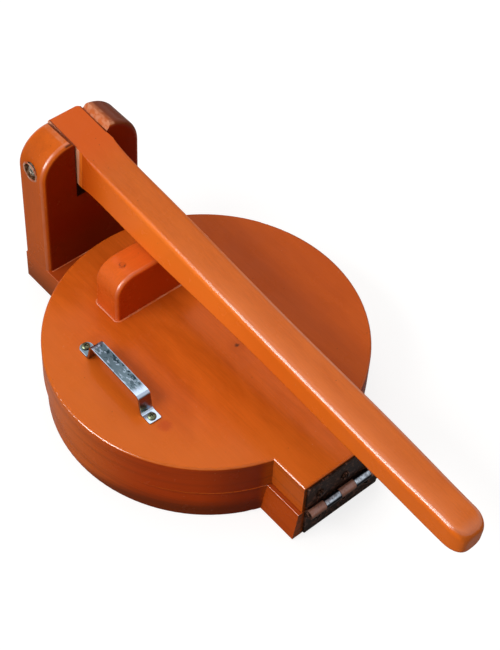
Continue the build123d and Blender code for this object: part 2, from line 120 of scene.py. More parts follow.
class PressMetal(bpy.types.PropertyGroup):
    """Colours of the metal pieces."""

    zinc: colour_prop("Zinc", "Blue-grey zinc of the strap handle", (0.050, 0.070, 0.084))
    # Painted reflections: bright blotches, bends, foot, front and edges of the strap
    zinc_reflection: colour_prop("Zinc, bright", "Bright streaks and bends of the strap handle", (0.42, 0.50, 0.62))
    # Dark spots and blotches on the strap, partly dulled zinc and partly painted dark reflections
    zinc_dark_spot_and_reflection: colour_prop("Zinc, dark", "Dark spots on the strap handle", (0.010, 0.020, 0.026))
    screw: colour_prop("Strap screw", "Yellowish zinc of the strap's screws", (0.13, 0.15, 0.09))
    hinge: colour_prop("Hinge leaf", "Oxidised steel of the hinge leaves", (0.022, 0.010, 0.006))
    hinge_rust: colour_prop("Hinge, rust", "Brown rust on the leaves and outer knuckles", (0.30, 0.135, 0.090))
    hinge_blue: colour_prop("Hinge, blue", "Polished knuckles of the lid's leaf", (0.022, 0.022, 0.028))
    # Painted glint along the knuckles
    hinge_glint: colour_prop("Hinge, worn", "Bright streak along the knuckles", (0.62, 0.70, 0.80))
    bolt: colour_prop("Bolt", "Tarnished steel of the pivot bolt", (0.40, 0.39, 0.35))
    dust: colour_prop("Dust", "Dust on the bolt's end and its nut", (0.44, 0.36, 0.27))
    bolt_dark: colour_prop("Bolt, dark", "Rust and grime on the pivot bolt", (0.06, 0.04, 0.025))


class PressMarks(bpy.types.PropertyGroup):
    """Sizes of the marks and of the small pieces that are added to the solids."""

    knot_x: length_prop("Knot along", "Small knot in the lid, along the lever", 22.0 * MM)
    knot_y: length_prop("Knot across", "Small knot in the lid, across the lever", 10.5 * MM)
    knot_radius: length_prop("Knot radius", "Radius of the knot", 1.5 * MM)
    bead_width: length_prop("Glue width", "Half the width of the dried glue around a foot", 0.9 * MM)
    bead_height: length_prop("Glue height", "Height of the dried glue", 0.4 * MM)
    bead_offset: length_prop("Glue offset", "Dried glue to the foot", 0.5 * MM)
    chip_radius: length_prop("Chip radius", "Radius of the chipped rim of the bolt's pocket", 8.1 * MM)
    chip_width: length_prop("Chip width", "Half the width of that rim", 0.9 * MM)
    chip_height: length_prop("Chip height", "Height of that rim", 0.28 * MM)
    strap_thickness: length_prop("Strap thickness", "Thickness of the strap handle", 1.5 * MM)
    screw_slot: length_prop("Driver slot", "Width of the screws' driver slots", 1.0 * MM)
    strap_screw_radius: length_prop("Strap screw", "Head radius of the strap's screws", 3.5 * MM)
    seed: bpy.props.IntProperty(name="Seed", description="Seed of everything random", default=7)


class PressStage(bpy.types.PropertyGroup):
    """Camera, lights and floor."""

    azimuth: angle_prop("Azimuth", "Camera azimuth from -Y", 46.294)
    elevation: angle_prop("Elevation", "Camera elevation", 50.262)
    roll: angle_prop("Roll", "Camera roll", 3.975)
    distance: length_prop("Distance", "Camera to its target", 1362.35 * MM)
    target_x: length_prop("Target x", "Camera target", -23.94 * MM)
    target_y: length_prop("Target y", "Camera target", 66.97 * MM)
    lens: number_prop("Lens", "Focal length, in millimetres", 90.79)
    key_power: number_prop("Window lamp", "Power of the window lamp, in watts", 20.0)
    key_length: length_prop("Window length", "Long side of the window lamp", 1.2)
    key_breadth: length_prop("Window breadth", "Short side of the window lamp", 0.55)
    key_distance: length_prop("Window distance", "Window lamp to the press", 2.0)
    glint_power: number_prop("Glint lamp", "Power of the lamp that only shows in the gloss, in watts", 55.0)
    glint_length: length_prop("Glint length", "Long side of the glint lamp", 1.0)
    glint_breadth: length_prop("Glint breadth", "Short side of the glint lamp", 0.8)
    top_power: number_prop("Top lamp", "Power of the lamp overhead, in watts", 8.0)
    top_size: length_prop("Top size", "Side of the lamp overhead", 1.4)
    ambient: share_prop("Ambient", "World light on the press", 0.54)
    floor_size: length_prop("Floor", "Side of the floor", 6.0)


# --- Building node trees -------------------------------------------------------------------
class Tree:
    """Adds nodes to one node tree and joins their sockets."""

    def __init__(self, tree):
        self.tree = tree

    def feed(self, socket, value):
        if isinstance(value, bpy.types.NodeSocket):
            self.tree.links.new(value, socket)
        elif value is not None:
            opaque = socket.type == "RGBA" and len(value) == 3
            socket.default_value = (*value, 1.0) if opaque else value

    def add(self, kind, inputs=(), **settings):
        node = self.tree.nodes.new(kind)
        for name, value in settings.items():
            setattr(node, name, value)
        for key, value in dict(inputs).items():
            self.feed(node.inputs[key], value)
        return node

    def math(self, operation, a, b=None, clamp=False):
        values = {0: a} if b is None else {0: a, 1: b}
        return self.add("ShaderNodeMath", values, operation=operation, use_clamp=clamp).outputs[0]

    def times(self, a, b):
        return self.math("MULTIPLY", a, b)

    def plus(self, a, b):
        return self.math("ADD", a, b)

    def minus(self, a, b):
        return self.math("SUBTRACT", a, b)

    def size(self, a):
        return self.math("ABSOLUTE", a)

    def vector(self, operation, a, b=None):
        values = {0: a} if b is None else {0: a, 1: b}
        node = self.add("ShaderNodeVectorMath", values, operation=operation)
        return node.outputs["Value" if operation in ("LENGTH", "DISTANCE") else "Vector"]

    def scaled(self, vector, factor):
        values = {0: vector, "Scale": factor}
        return self.add("ShaderNodeVectorMath", values, operation="SCALE").outputs["Vector"]

    def stretched(self, vector, x, y, z):
        return self.vector("MULTIPLY", vector, (x, y, z))

    def split(self, vector):
        return self.add("ShaderNodeSeparateXYZ", {0: vector}).outputs

    def join(self, x, y, z):
        return self.add("ShaderNodeCombineXYZ", {"X": x, "Y": y, "Z": z}).outputs[0]

    def mix(self, share, a, b):
        node = self.add("ShaderNodeMix", {0: share}, data_type="RGBA")
        self.feed(node.inputs[6], a)
        self.feed(node.inputs[7], b)
        return node.outputs[2]

    def blend(self, share, a, b):
        return self.add("ShaderNodeMix", {0: share, 2: a, 3: b}, data_type="FLOAT").outputs[0]

    def ramp(self, value, low, high, start=0.0, end=1.0):
        """Smooth step from start to end as the value goes from low to high."""
        node = self.add("ShaderNodeMapRange", interpolation_type="SMOOTHSTEP")
        for socket, one in zip(list(node.inputs)[:5], (value, low, high, start, end)):
            self.feed(socket, one)
        return node.outputs[0]

    def noise(self, vector, scale, detail=3.0, roughness=0.5, distortion=0.0):
        values = {
            "Vector": vector,
            "Scale": scale,
            "Detail": detail,
            "Roughness": roughness,
            "Distortion": distortion,
        }
        return self.add("ShaderNodeTexNoise", values).outputs[0]

    def cells(self, vector, scale, feature="F1"):
        values = {"Vector": vector, "Scale": scale}
        return self.add("ShaderNodeTexVoronoi", values, feature=feature).outputs["Distance"]

    def group(self, name, inputs):
        tree = bpy.data.node_groups.get(name) or GROUP_MAKERS[name](name)
        return self.add("ShaderNodeGroup", inputs, node_tree=tree).outputs


def new_group(name, kind, takes, gives):
    """Empty node group: its tree, a builder for it, its inputs and its outputs."""
    tree = bpy.data.node_groups.new(name, kind)
    for way, sockets in (("INPUT", takes), ("OUTPUT", gives)):
        for label, (socket_kind, value) in sockets.items():
            socket = tree.interface.new_socket(
                label, in_out=way, socket_type="NodeSocket" + socket_kind
            )
            if value is not None:
                socket.default_value = value
    build = Tree(tree)
    return tree, build, build.add("NodeGroupInput").outputs, build.add("NodeGroupOutput").inputs


def varnished_wood(name):
    """Stained wood with its grain along the first axis of a vector in millimetres."""
    takes = {
        "Vector": ("Vector", None),
        "Light": ("Color", (0.7, 0.1, 0.01, 1)),
        "Deep": ("Color", (0.5, 0.07, 0.01, 1)),
        "Mottle": ("Float", 0.6),
        "Fibre": ("Float", 0.25),
        "Gloss": ("Float", 0.25),
    }
    gives = {"Color": ("Color", None), "Roughness": ("Float", None), "Height": ("Float", None)}
    tree, b, source, sink = new_group(name, "ShaderNodeTree", takes, gives)
    place = source["Vector"]
    clouds = b.noise(b.stretched(place, 0.42, 1.0, 1.0), 0.026, 5.0, 0.55, 0.5)
    clouds = b.ramp(clouds, 0.36, 0.66)
    streaks = b.noise(b.stretched(place, 0.10, 1.0, 1.0), 0.085, 5.0, 0.6, 0.5)
    streaks = b.ramp(streaks, 0.38, 0.66)
    flecks = b.ramp(b.noise(b.stretched(place, 0.30, 1.0, 1.0), 0.16, 4.0, 0.6), 0.50, 0.72)
    share = b.plus(b.times(clouds, 0.55), b.times(streaks, 0.28))
    share = b.times(b.plus(share, b.times(flecks, 0.17)), source["Mottle"])
    colour = b.mix(share, source["Light"], source["Deep"])
    fibre = b.noise(b.stretched(place, 0.055, 1.0, 1.0), 0.85, 5.0, 0.62)
    tint = b.ramp(fibre, 0.25, 0.75, 1.12, 0.84)
    colour = b.mix(source["Fibre"], colour, b.scaled(colour, tint))
    pores = b.noise(b.stretched(place, 0.09, 1.0, 1.0), 2.6, 2.0, 0.5)
    pores = b.ramp(pores, 0.66, 0.74)
    colour = b.mix(b.times(pores, 0.14), colour, (0.16, 0.022, 0.003))
    b.feed(sink["Color"], colour)
    smear = b.ramp(b.noise(place, 0.045, 4.0, 0.6), 0.35, 0.7, -0.05, 0.08)
    b.feed(sink["Roughness"], b.plus(source["Gloss"], smear))
    relief = b.plus(b.times(fibre, 0.35), b.times(b.noise(place, 0.09, 3.0, 0.5), 0.65))
    b.feed(sink["Height"], b.minus(relief, b.times(pores, 0.25)))
    return tree


def ragged_spot(name):
    """Soft-edged ragged spot around a place, in millimetres."""
    takes = {
        "Vector": ("Vector", None),
        "Centre": ("Vector", None),
        "Radius": ("Float", 3.0),
        "Softness": ("Float", 1.0),
        "Ragged": ("Float", 0.5),
    }
    tree, b, source, sink = new_group(name, "ShaderNodeTree", takes, {"Mask": ("Float", None)})
    reach = b.vector("DISTANCE", source["Vector"], source["Centre"])
    wobble = b.times(b.minus(b.noise(source["Vector"], 0.55, 3.0), 0.5), source["Ragged"])
    reach = b.plus(reach, b.times(wobble, source["Radius"]))
    low = b.minus(source["Radius"], source["Softness"])
    high = b.plus(source["Radius"], source["Softness"])
    b.feed(sink["Mask"], b.ramp(reach, low, high, 1.0, 0.0))
    return tree


def varnish_marks(name):
    """Sparse specks, dark nicks and hairline scratches in the varnish, in millimetres."""
    takes = {"Vector": ("Vector", None), "Amount": ("Float", 0.5)}
    gives = {"Pale": ("Float", None), "Dark": ("Float", None), "Scratch": ("Float", None)}
    tree, b, source, sink = new_group(name, "ShaderNodeTree", takes, gives)
    place = source["Vector"]
    where = b.ramp(b.noise(place, 0.035, 2.0), 0.52, 0.68)
    pale = b.ramp(b.cells(place, 0.16), 0.05, 0.09, 1.0, 0.0)
    b.feed(sink["Pale"], b.times(b.times(pale, where), source["Amount"]))
    moved = b.vector("ADD", place, (31.0, 17.0, 5.0))
    dark = b.ramp(b.cells(moved, 0.075), 0.022, 0.05, 1.0, 0.0)
    b.feed(sink["Dark"], b.times(dark, source["Amount"]))
    line = b.cells(b.stretched(moved, 0.10, 0.9, 0.9), 0.11, "DISTANCE_TO_EDGE")
    line = b.ramp(line, 0.004, 0.010, 1.0, 0.0)
    broken = b.ramp(b.noise(place, 0.06, 2.0), 0.60, 0.70)
    b.feed(sink["Scratch"], b.times(b.times(line, broken), source["Amount"]))
    return tree


def arris_wear_and_glint(name):
    """Polished arrises, with a pale tint on them that is partly rubbed varnish and partly painted highlight: where
    a part of the surface's normal is near a middle value.
    """
    takes = {
        "Vector": ("Vector", None),
        "Lean": ("Float", 0.0),
        "Middle": ("Float", 0.72),
        "Width": ("Float", 0.25),
    }
    gives = {"Edge": ("Float", None), "Worn And Lit": ("Float", None)}
    tree, b, source, sink = new_group(name, "ShaderNodeTree", takes, gives)
    away = b.size(b.minus(b.size(source["Lean"]), source["Middle"]))
    edge = b.ramp(away, b.times(source["Width"], 0.4), source["Width"], 1.0, 0.0)
    b.feed(sink["Edge"], edge)
    patches = b.ramp(b.noise(source["Vector"], 0.05, 4.0, 0.6), 0.40, 0.62, 0.25, 1.0)
    b.feed(sink["Worn And Lit"], b.times(edge, patches))
    return tree


def metal_blotches(name):
    """Angular blotches of dulled metal, and other bright blotches for painted reflections, stretched along the
    first axis of a vector in millimetres.
    """
    takes = {"Vector": ("Vector", None), "Scale": ("Float", 0.4), "Share": ("Float", 0.5)}
    gives = {"Dark": ("Float", None), "Bright": ("Float", None), "Height": ("Float", None)}
    tree, b, source, sink = new_group(name, "ShaderNodeTree", takes, gives)
    place = b.stretched(source["Vector"], 0.5, 1.0, 1.0)
    rough = b.noise(place, source["Scale"], 4.0, 0.55, 0.6)
    limit = b.blend(source["Share"], 0.68, 0.46)
    b.feed(sink["Dark"], b.ramp(rough, limit, b.plus(limit, 0.035)))
    other = b.noise(b.vector("ADD", place, (41.0, 9.0, 3.0)), b.times(source["Scale"], 1.2), 3.0)
    b.feed(sink["Bright"], b.ramp(other, b.plus(limit, 0.01), b.plus(limit, 0.05)))
    b.feed(sink["Height"], b.noise(b.stretched(source["Vector"], 0.3, 1.0, 1.0), 0.5, 3.0))
    return tree


GROUP_MAKERS = {
    "varnished_wood": varnished_wood,
    "ragged_spot": ragged_spot,
    "varnish_marks": varnish_marks,
    "arris_wear_and_glint": arris_wear_and_glint,
    "metal_blotches": metal_blotches,
}


# --- Materials -----------------------------------------------------------------------------
class Finish:
    """A material being made: its tree, its shader, and the place and normal on the piece."""

    def __init__(self, name):
        self.material = bpy.data.materials.new(name)
        self.material.use_nodes = True
        self.material.node_tree.nodes.clear()
        self.b = b = Tree(self.material.node_tree)
        self.shader = b.add("ShaderNodeBsdfPrincipled")
        b.add("ShaderNodeOutputMaterial", {"Surface": self.shader.outputs[0]})
        coordinates = b.add("ShaderNodeTexCoord").outputs
        self.place = b.scaled(coordinates["Object"], 1 / MM)
        self.at = b.split(self.place)
        self.normal = b.split(coordinates["Normal"])

    def set(self, **inputs):
        for name, value in inputs.items():
            self.b.feed(self.shader.inputs[name.replace("_", " ")], value)

    def bump(self, height, distance, strength=0.5):
        values = {"Strength": strength, "Distance": distance, "Height": height}
        self.set(Normal=self.b.add("ShaderNodeBump", values).outputs[0])


class WoodFinish(Finish):
    """Varnished wood, with its colour so far."""

    def __init__(self, name, light, deep, axes=(0, 1, 2), shift=(0, 0, 0), mottle=1.0):
        super().__init__(name)
        b = self.b
        self.props = bpy.context.scene.press_wood
        turned = b.join(*(self.at[index] for index in axes))
        self.grain = b.vector("ADD", turned, shift)
        inputs = {
            "Vector": self.grain,
            "Light": light,
            "Deep": deep,
            "Mottle": mottle,
            "Fibre": 0.45,
            "Gloss": self.props.gloss,
        }
        wood = b.group("varnished_wood", inputs)
        self.colour = wood["Color"]
        self.roughness = wood["Roughness"]
        self.height = wood["Height"]

    def tint(self, share, colour):
        self.colour = self.b.mix(share, self.colour, colour)

    def paint_front_shade(self, colour, share=0.94):
        """Painted shade on the faces that look towards the handle."""
        self.tint(self.b.ramp(self.normal[0], 0.82, 0.995, 0.0, share), colour)

    def wear_and_glint(self, lean, middle=0.72, width=0.25, paint=0.35, only=None, blur=0.12):
        """Paler and more polished arrises: the pale tint is partly rubbed varnish and partly painted highlight."""
        inputs = {"Vector": self.place, "Lean": lean, "Middle": middle, "Width": width}
        arris = self.b.group("arris_wear_and_glint", inputs)
        worn_and_lit = arris["Worn And Lit"] if only is None else self.b.times(arris["Worn And Lit"], only)
        self.tint(self.b.times(worn_and_lit, paint), self.props.raw)
        edge = arris["Edge"] if only is None else self.b.times(arris["Edge"], only)
        self.set(Coat_Weight=edge, Coat_Roughness=blur)

    def finish(self, depth, marks=0.6):
        b = self.b
        found = b.group("varnish_marks", {"Vector": self.grain, "Amount": marks})
        self.tint(b.times(found["Dark"], 0.6), self.props.dirt)
        self.tint(b.times(found["Pale"], 0.6), self.props.raw)
        self.set(Base_Color=self.colour, Roughness=self.roughness)
        self.shader.inputs["Specular IOR Level"].default_value = self.props.shine
        self.bump(b.minus(self.height, b.times(found["Scratch"], 0.3)), depth)
        return self.material


def rim_stain_and_shade(wood, low):
    """Stain on a board's rim in faint darker layers, with painted shade: darker where the rim turns towards +X,
    darkest low down, deep on the faces towards the handle, and dark in the corner by the tab.
    """
    b, props = wood.b, wood.props
    rim = b.ramp(b.size(wood.normal[2]), 0.15, 0.62, 1.0, 0.0)
    wood.tint(b.times(rim, 0.8), props.board_rim)
    # Painted shade: the rim darkens as it turns towards +X, less so on the tab.
    turned = b.ramp(b.plus(wood.normal[0], b.times(wood.at[0], 0.004)), -0.25, 0.85)
    tab = b.ramp(wood.at[0], 117.0, 121.0)
    turned = b.times(turned, b.blend(tab, 1.0, 0.35))
    wood.tint(b.times(rim, turned), props.board_turned_shade)
    layers = b.noise(b.stretched(wood.place, 0.015, 0.015, 1.0), 0.30, 4.0, 0.6, 0.3)
    layers = b.ramp(layers, 0.45, 0.62, 0.0, 0.22)
    wood.tint(b.times(rim, layers), props.board_layer_and_low_shade)
    # Painted shade: darkest low on the rim, reaching higher where it turns towards +X.
    height = b.minus(wood.at[2], low)
    depth = b.ramp(b.minus(height, b.times(turned, 15.5)), -7.0, 7.0, 1.0, 0.0)
    depth = b.times(b.times(rim, depth), b.blend(tab, 0.8, 0.25))
    wood.tint(depth, props.board_layer_and_low_shade)
    # Painted shade on the faces towards the handle, mottled like end grain.
    end_grain_and_shade = b.ramp(b.noise(b.stretched(wood.place, 1.0, 0.4, 1.0), 0.30, 4.0, 0.6), 0.38, 0.62)
    end_grain_and_shade = b.mix(end_grain_and_shade, (0.21, 0.036, 0.004), (0.075, 0.026, 0.007))
    wood.tint(b.ramp(wood.normal[0], 0.90, 0.99, 0.0, 0.92), end_grain_and_shade)
    # Painted shade in the corner where the disc's rim meets the tab.
    corner = b.times(b.ramp(wood.at[0], 92.0, 116.0), b.ramp(wood.at[0], 121.0, 117.0))
    wood.tint(b.times(b.times(rim, corner), 0.55), (0.12, 0.010, 0.001))


def lid_material(props, marks):
    """The lid: painted sheen near its rim, painted shadow beyond the lever, a front rim pale partly from rubbing
    and partly from painted highlight, with a knot and a stain by the strap.
    """
    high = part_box("lid_board")[1].z / MM
    wood = WoodFinish("varnished_lid", props.board_light, props.board_deep)
    b = wood.b
    x, y, z = wood.at
    # Painted sheen: paler, milkier wood near the rim, on the lid's -Y side.
    rim_sheen = b.ramp(b.vector("LENGTH", b.stretched(wood.place, 1.0, 1.0, 0.0)), 60.0, 118.0)
    rim_sheen = b.times(rim_sheen, b.ramp(b.plus(y, b.times(x, -0.25)), -10.0, -95.0))
    wood.tint(b.times(rim_sheen, 0.70), props.board_sheen)
    # Painted shadow: the lid deepens on its +Y side, beyond the lever.
    wood.tint(b.ramp(y, 14.0, 34.0, 0.0, 0.55), props.board_shadow_and_halo)
    rim_stain_and_shade(wood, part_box("base_board")[0].z / MM)
    centre = (marks.knot_x / MM, marks.knot_y / MM, high)
    inputs = {"Vector": wood.place, "Centre": centre, "Radius": marks.knot_radius / MM}
    knot = b.group("ragged_spot", inputs | {"Softness": 0.9, "Ragged": 1.7})["Mask"]
    halo = b.group("ragged_spot", inputs | {"Radius": 5.5, "Softness": 4.5, "Ragged": 0.9})["Mask"]
    wood.tint(b.times(halo, 0.4), props.board_shadow_and_halo)
    wood.tint(b.times(knot, 0.8), props.dirt)
    stain = {"Vector": wood.place, "Centre": (47.0, -81.0, high), "Radius": 5.0}
    stain = b.group("ragged_spot", stain | {"Softness": 2.5, "Ragged": 1.2})["Mask"]
    wood.tint(b.times(stain, 0.5), (0.42, 0.04, 0.008))
    # Front rim arris: pale partly from rubbed varnish and partly a painted highlight where the window lamp glints.
    front = b.ramp(b.plus(x, b.times(y, -0.30)), 5.0, 48.0)
    rim = b.times(b.ramp(z, high - 6.0, high - 4.0), b.blend(front, 0.0, 1.0))
    rim = b.times(rim, b.ramp(wood.normal[0], 0.15, 0.35, 1.0, 0.25))
    wood.wear_and_glint(wood.normal[2], width=0.21, paint=0.24, only=rim, blur=0.14)
    return wood.finish(0.12 * MM)


def base_material(props):
    """The base board, mostly its rim, with painted shade on its tab tops and the front tab's sides, and arrises on
    its two tabs that are pale partly from rubbing and partly from painted highlight.
    """
    shift = (180.0, 35.0, 60.0)
    wood = WoodFinish("varnished_base", props.board_light, props.board_deep, shift=shift)
    b = wood.b
    rim_stain_and_shade(wood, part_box("base_board")[0].z / MM)
    # Painted shade: darker tab tops beside the lid's rim.
    top = b.times(b.ramp(wood.normal[2], 0.8, 0.95), b.ramp(b.size(wood.at[0]), 98.0, 116.0))
    wood.tint(b.times(top, 0.75), (0.33, 0.042, 0.008))
    # Painted shade on the front tab's sides.
    wood.tint(b.times(b.ramp(wood.at[0], 117.0, 121.0), b.ramp(b.size(wood.normal[1]), 0.7, 0.9, 0.0, 0.55)), props.board_turned_shade)
    # Rear faces take the post's colour, darker towards the bottom.
    rear = b.ramp(b.size(wood.normal[2]), 0.3, 0.7, 0.85, 0.0)
    stain = b.ramp(wood.at[2], 3.0, 30.0)
    stain = b.mix(stain, (0.22, 0.045, 0.009), props.post_deep)
    wood.tint(b.times(b.ramp(wood.at[0], -112.0, -135.0), rear), stain)
    # Tab arrises: pale partly from rubbed varnish and partly a painted highlight.
    tabs = b.times(b.ramp(b.size(wood.at[0]), 117.0, 121.0), b.ramp(wood.at[2], 20.0, 25.0))
    wood.wear_and_glint(wood.normal[2], width=0.28, paint=0.30, only=tabs)
    return wood.finish(0.12 * MM)


def post_material(props):
    """The post: grain upright, painted shade on its front, on its right cheek, within the slot and on the slot's
    left bevel, pale rubbed wood on the slot's right bevel, and a left-front arris partly painted highlight.
    """
    low, high = (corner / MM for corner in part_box("post_block"))
    wood = WoodFinish("varnished_post", props.post_light, props.post_deep, axes=(2, 1, 0))
    b = wood.b
    y, z = wood.at[1], wood.at[2]
    # Painted shade on the right cheek's upper faces, turned away from the light.
    right = b.times(b.ramp(y, 20.0, 30.0), b.ramp(z, high.z - 45.0, high.z - 20.0))
    right = b.times(right, b.ramp(wood.normal[2], -0.1, 0.3, 0.0, 0.9))
    wood.tint(right, (0.115, 0.016, 0.001))
    # Painted shade on the post's front.
    wood.paint_front_shade(props.post_front_shade)
    wood.tint(b.ramp(z, low.z + 45.0, low.z, 0.0, 0.2), (0.30, 0.060, 0.010))
    # Left-front arris: pale partly from rubbed varnish and partly a painted highlight.
    wood.wear_and_glint(wood.normal[0], 0.36, 0.36, 0.10, only=b.ramp(y, 18.0, 24.0, 1.0, 0.2), blur=0.32)
    middle = (low.y + high.y) / 2
    across = b.size(b.minus(y, middle))
    # Painted shade: near black within the slot.
    slot_shade = b.times(b.ramp(z, high.z - 60.0, high.z - 59.2), b.ramp(z, high.z - 3.0, high.z - 9.0))
    slot_shade = b.times(slot_shade, b.ramp(across, 15.6, 16.6, 0.95, 0.0))
    wood.tint(slot_shade, (0.020, 0.002, 0.0005))
    strip = b.times(b.ramp(b.size(b.minus(across, 21.5)), 1.5, 3.0, 1.0, 0.0), b.ramp(wood.normal[2], 0.5, 0.7))
    strip = b.times(strip, b.ramp(b.noise(wood.place, 0.16, 3.0), 0.40, 0.62, 0.35, 0.08))
    wood.tint(strip, props.raw)
    # Slot bevels: pale rubbed wood on the right cheek, painted shade beside the lever on the left.
    near_slot = b.ramp(across, 22.5, 25.0, 1.0, 0.0)
    bevel = b.times(near_slot, b.ramp(b.size(b.minus(wood.normal[2], 0.71)), 0.08, 0.2, 1.0, 0.0))
    left = b.ramp(y, middle - 1.0, middle + 1.0, 1.0, 0.0)
    patches = b.ramp(b.noise(wood.place, 0.22, 3.0), 0.38, 0.60, 0.75, 0.2)
    patches = b.blend(left, patches, 0.85)
    wood.tint(b.times(bevel, patches), b.mix(left, props.raw, (0.10, 0.014, 0.003)))
    pivot_low, pivot_high = (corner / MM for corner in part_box("pivot_bolt"))
    axis = (pivot_low + pivot_high) / 2
    off_axis = b.vector("SUBTRACT", wood.place, tuple(axis))
    away = b.vector("LENGTH", b.stretched(off_axis, 1.0, 0.0, 1.0))
    pocket = b.ramp(b.noise(wood.place, 0.35, 4.0), 0.40, 0.60)
    pocket = b.mix(pocket, (0.34, 0.20, 0.11), (0.05, 0.022, 0.010))
    wood.tint(b.ramp(away, 7.95, 8.5, 0.92, 0.0), pocket)
    return wood.finish(0.14 * MM)


def block_material(name, props, light, deep):
    """The pressure block and its plugs."""
    wood = WoodFinish(name, light, deep, axes=(1, 0, 2), shift=(9.0, 40.0, 2.0))
    # Painted shade on the block's front.
    wood.paint_front_shade(props.block_front_shade)
    b = wood.b
    # Front arrises: pale partly from rubbed varnish and partly a painted highlight.
    front = b.ramp(wood.normal[0], -0.05, 0.08)
    wood.wear_and_glint(wood.normal[0], 0.42, 0.42, 0.12, only=front, blur=0.32)
    low, high = (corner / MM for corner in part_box("block_plugs"))
    plug = (high.x - low.x) / 2
    x, y = b.minus(wood.at[0], low.x + plug), b.minus(b.size(wood.at[1]), high.y - plug)
    away = b.vector("LENGTH", b.join(x, y, 0.0))
    away = b.plus(away, b.times(b.minus(b.noise(wood.place, 0.6, 3.0), 0.5), 1.6))
    ring = b.ramp(b.size(b.minus(away, plug * 0.62)), 0.2, 0.8, 1.0, 0.0)
    patches = b.ramp(b.noise(wood.place, 0.35, 2.0), 0.46, 0.60)
    wood.tint(b.times(b.times(ring, patches), 0.7), props.dirt)
    return wood.finish(0.14 * MM)


def lever_material(props):
    """The lever: painted light on its sides, painted shade near the post and where it enters the slot, a painted
    highlight on the bevel at the post, a painted glow and highlight along its left arris, straight grain and small
    dents.
    """
    shift = (60.0, 210.0, 90.0)
    wood = WoodFinish("varnished_lever", props.lever_light, props.lever_deep, shift=shift)
    b = wood.b
    x, y, z = wood.at
    # Painted light: brighter sides, most of all along the middle of the arm.
    side = b.ramp(b.size(wood.normal[1]), 0.45, 0.9)
    wood.tint(b.times(side, 0.9), props.lever_lit_side)
    lit_middle = b.times(b.ramp(x, -120.0, -55.0), b.ramp(x, 90.0, 10.0, 0.0, 0.7))
    wood.tint(b.times(side, lit_middle), (0.99, 0.225, 0.024))
    # Painted shade on the sides near the post.
    root_shade = b.ramp(x, -148.0, -112.0, 1.0, 0.0)
    wood.tint(b.times(b.times(side, root_shade), 0.5), (0.55, 0.055, 0.003))
    wood.tint(b.ramp(x, -105.0, -150.0, 0.0, 0.85), (0.59, 0.084, 0.004))
    # Painted shade in the slit where the lever enters the slot.
    gap_shade = b.times(b.ramp(b.size(b.minus(y, 4.0)), 13.4, 14.4), b.ramp(x, -149.5, -151.5))
    wood.tint(b.times(gap_shade, 0.8), (0.11, 0.014, 0.002))
    # Painted highlight: a bright strip on the shoulder bevel by the post, paler at its rear edge.
    bevel_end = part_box("post_block")[1].x / MM + 6.5
    reach = b.minus(x, b.times(b.minus(z, 125.0), 0.067))
    bevel = b.times(side, b.ramp(reach, bevel_end - 0.3, bevel_end + 0.3, 1.0, 0.0))
    wood.tint(b.times(bevel, 0.8), (0.95, 0.21, 0.022))
    worn_and_lit = b.ramp(reach, bevel_end - 4.6, bevel_end - 3.2, 0.8, 0.0)
    wood.tint(b.times(bevel, worn_and_lit), (0.80, 0.42, 0.26))
    arm = b.ramp(x, -70.0, 90.0, 0.05, 1.0)
    # Painted highlight: a pale glow on the top beside the left arris, stronger towards the tip.
    glow = b.times(b.ramp(y, -9.0, 9.0, 1.0, 0.0), b.ramp(wood.normal[2], 0.75, 0.9))
    wood.tint(b.times(b.times(glow, arm), 0.5), props.lever_sheen)
    # Left arris: pale partly from rubbed varnish and partly a painted highlight, stronger towards the tip.
    wood.wear_and_glint(wood.normal[2], middle=0.80, width=0.22, paint=0.12, only=arm, blur=0.19)
    wood.height = b.plus(b.times(wood.height, 0.6), b.times(b.noise(wood.place, 0.05, 2.0), 0.8))
    return wood.finish(0.12 * MM, 0.7)


def glue_material(props):
    """Dried glue and varnish that gathered around a foot."""
    glue = Finish("dried_glue")
    b = glue.b
    patches = b.ramp(b.noise(glue.place, 0.10, 4.0, 0.6), 0.40, 0.62)
    glue.set(
        Base_Color=b.mix(b.plus(b.times(patches, 0.4), 0.55), props.raw, props.board_light),
        Roughness=b.blend(patches, 0.4, 0.5),
        Coat_Weight=b.blend(patches, 0.3, 0.0),
    )
    glue.bump(b.noise(glue.place, 0.6, 3.0), 0.1 * MM)
    return glue.material


def chip_material(props):
    """Raw, dusty wood where the varnish chipped off."""
    chip = Finish("chipped_rim")
    b = chip.b
    patches = b.ramp(b.noise(chip.place, 0.22, 4.0, 0.6), 0.44, 0.54)
    chip.set(
        Base_Color=b.mix(b.plus(b.times(patches, 0.6), 0.35), (0.50, 0.33, 0.22), props.post_deep),
        Roughness=b.blend(patches, 0.8, 0.4),
    )
    chip.bump(b.noise(chip.place, 1.4, 4.0), 0.2 * MM)
    return chip.material


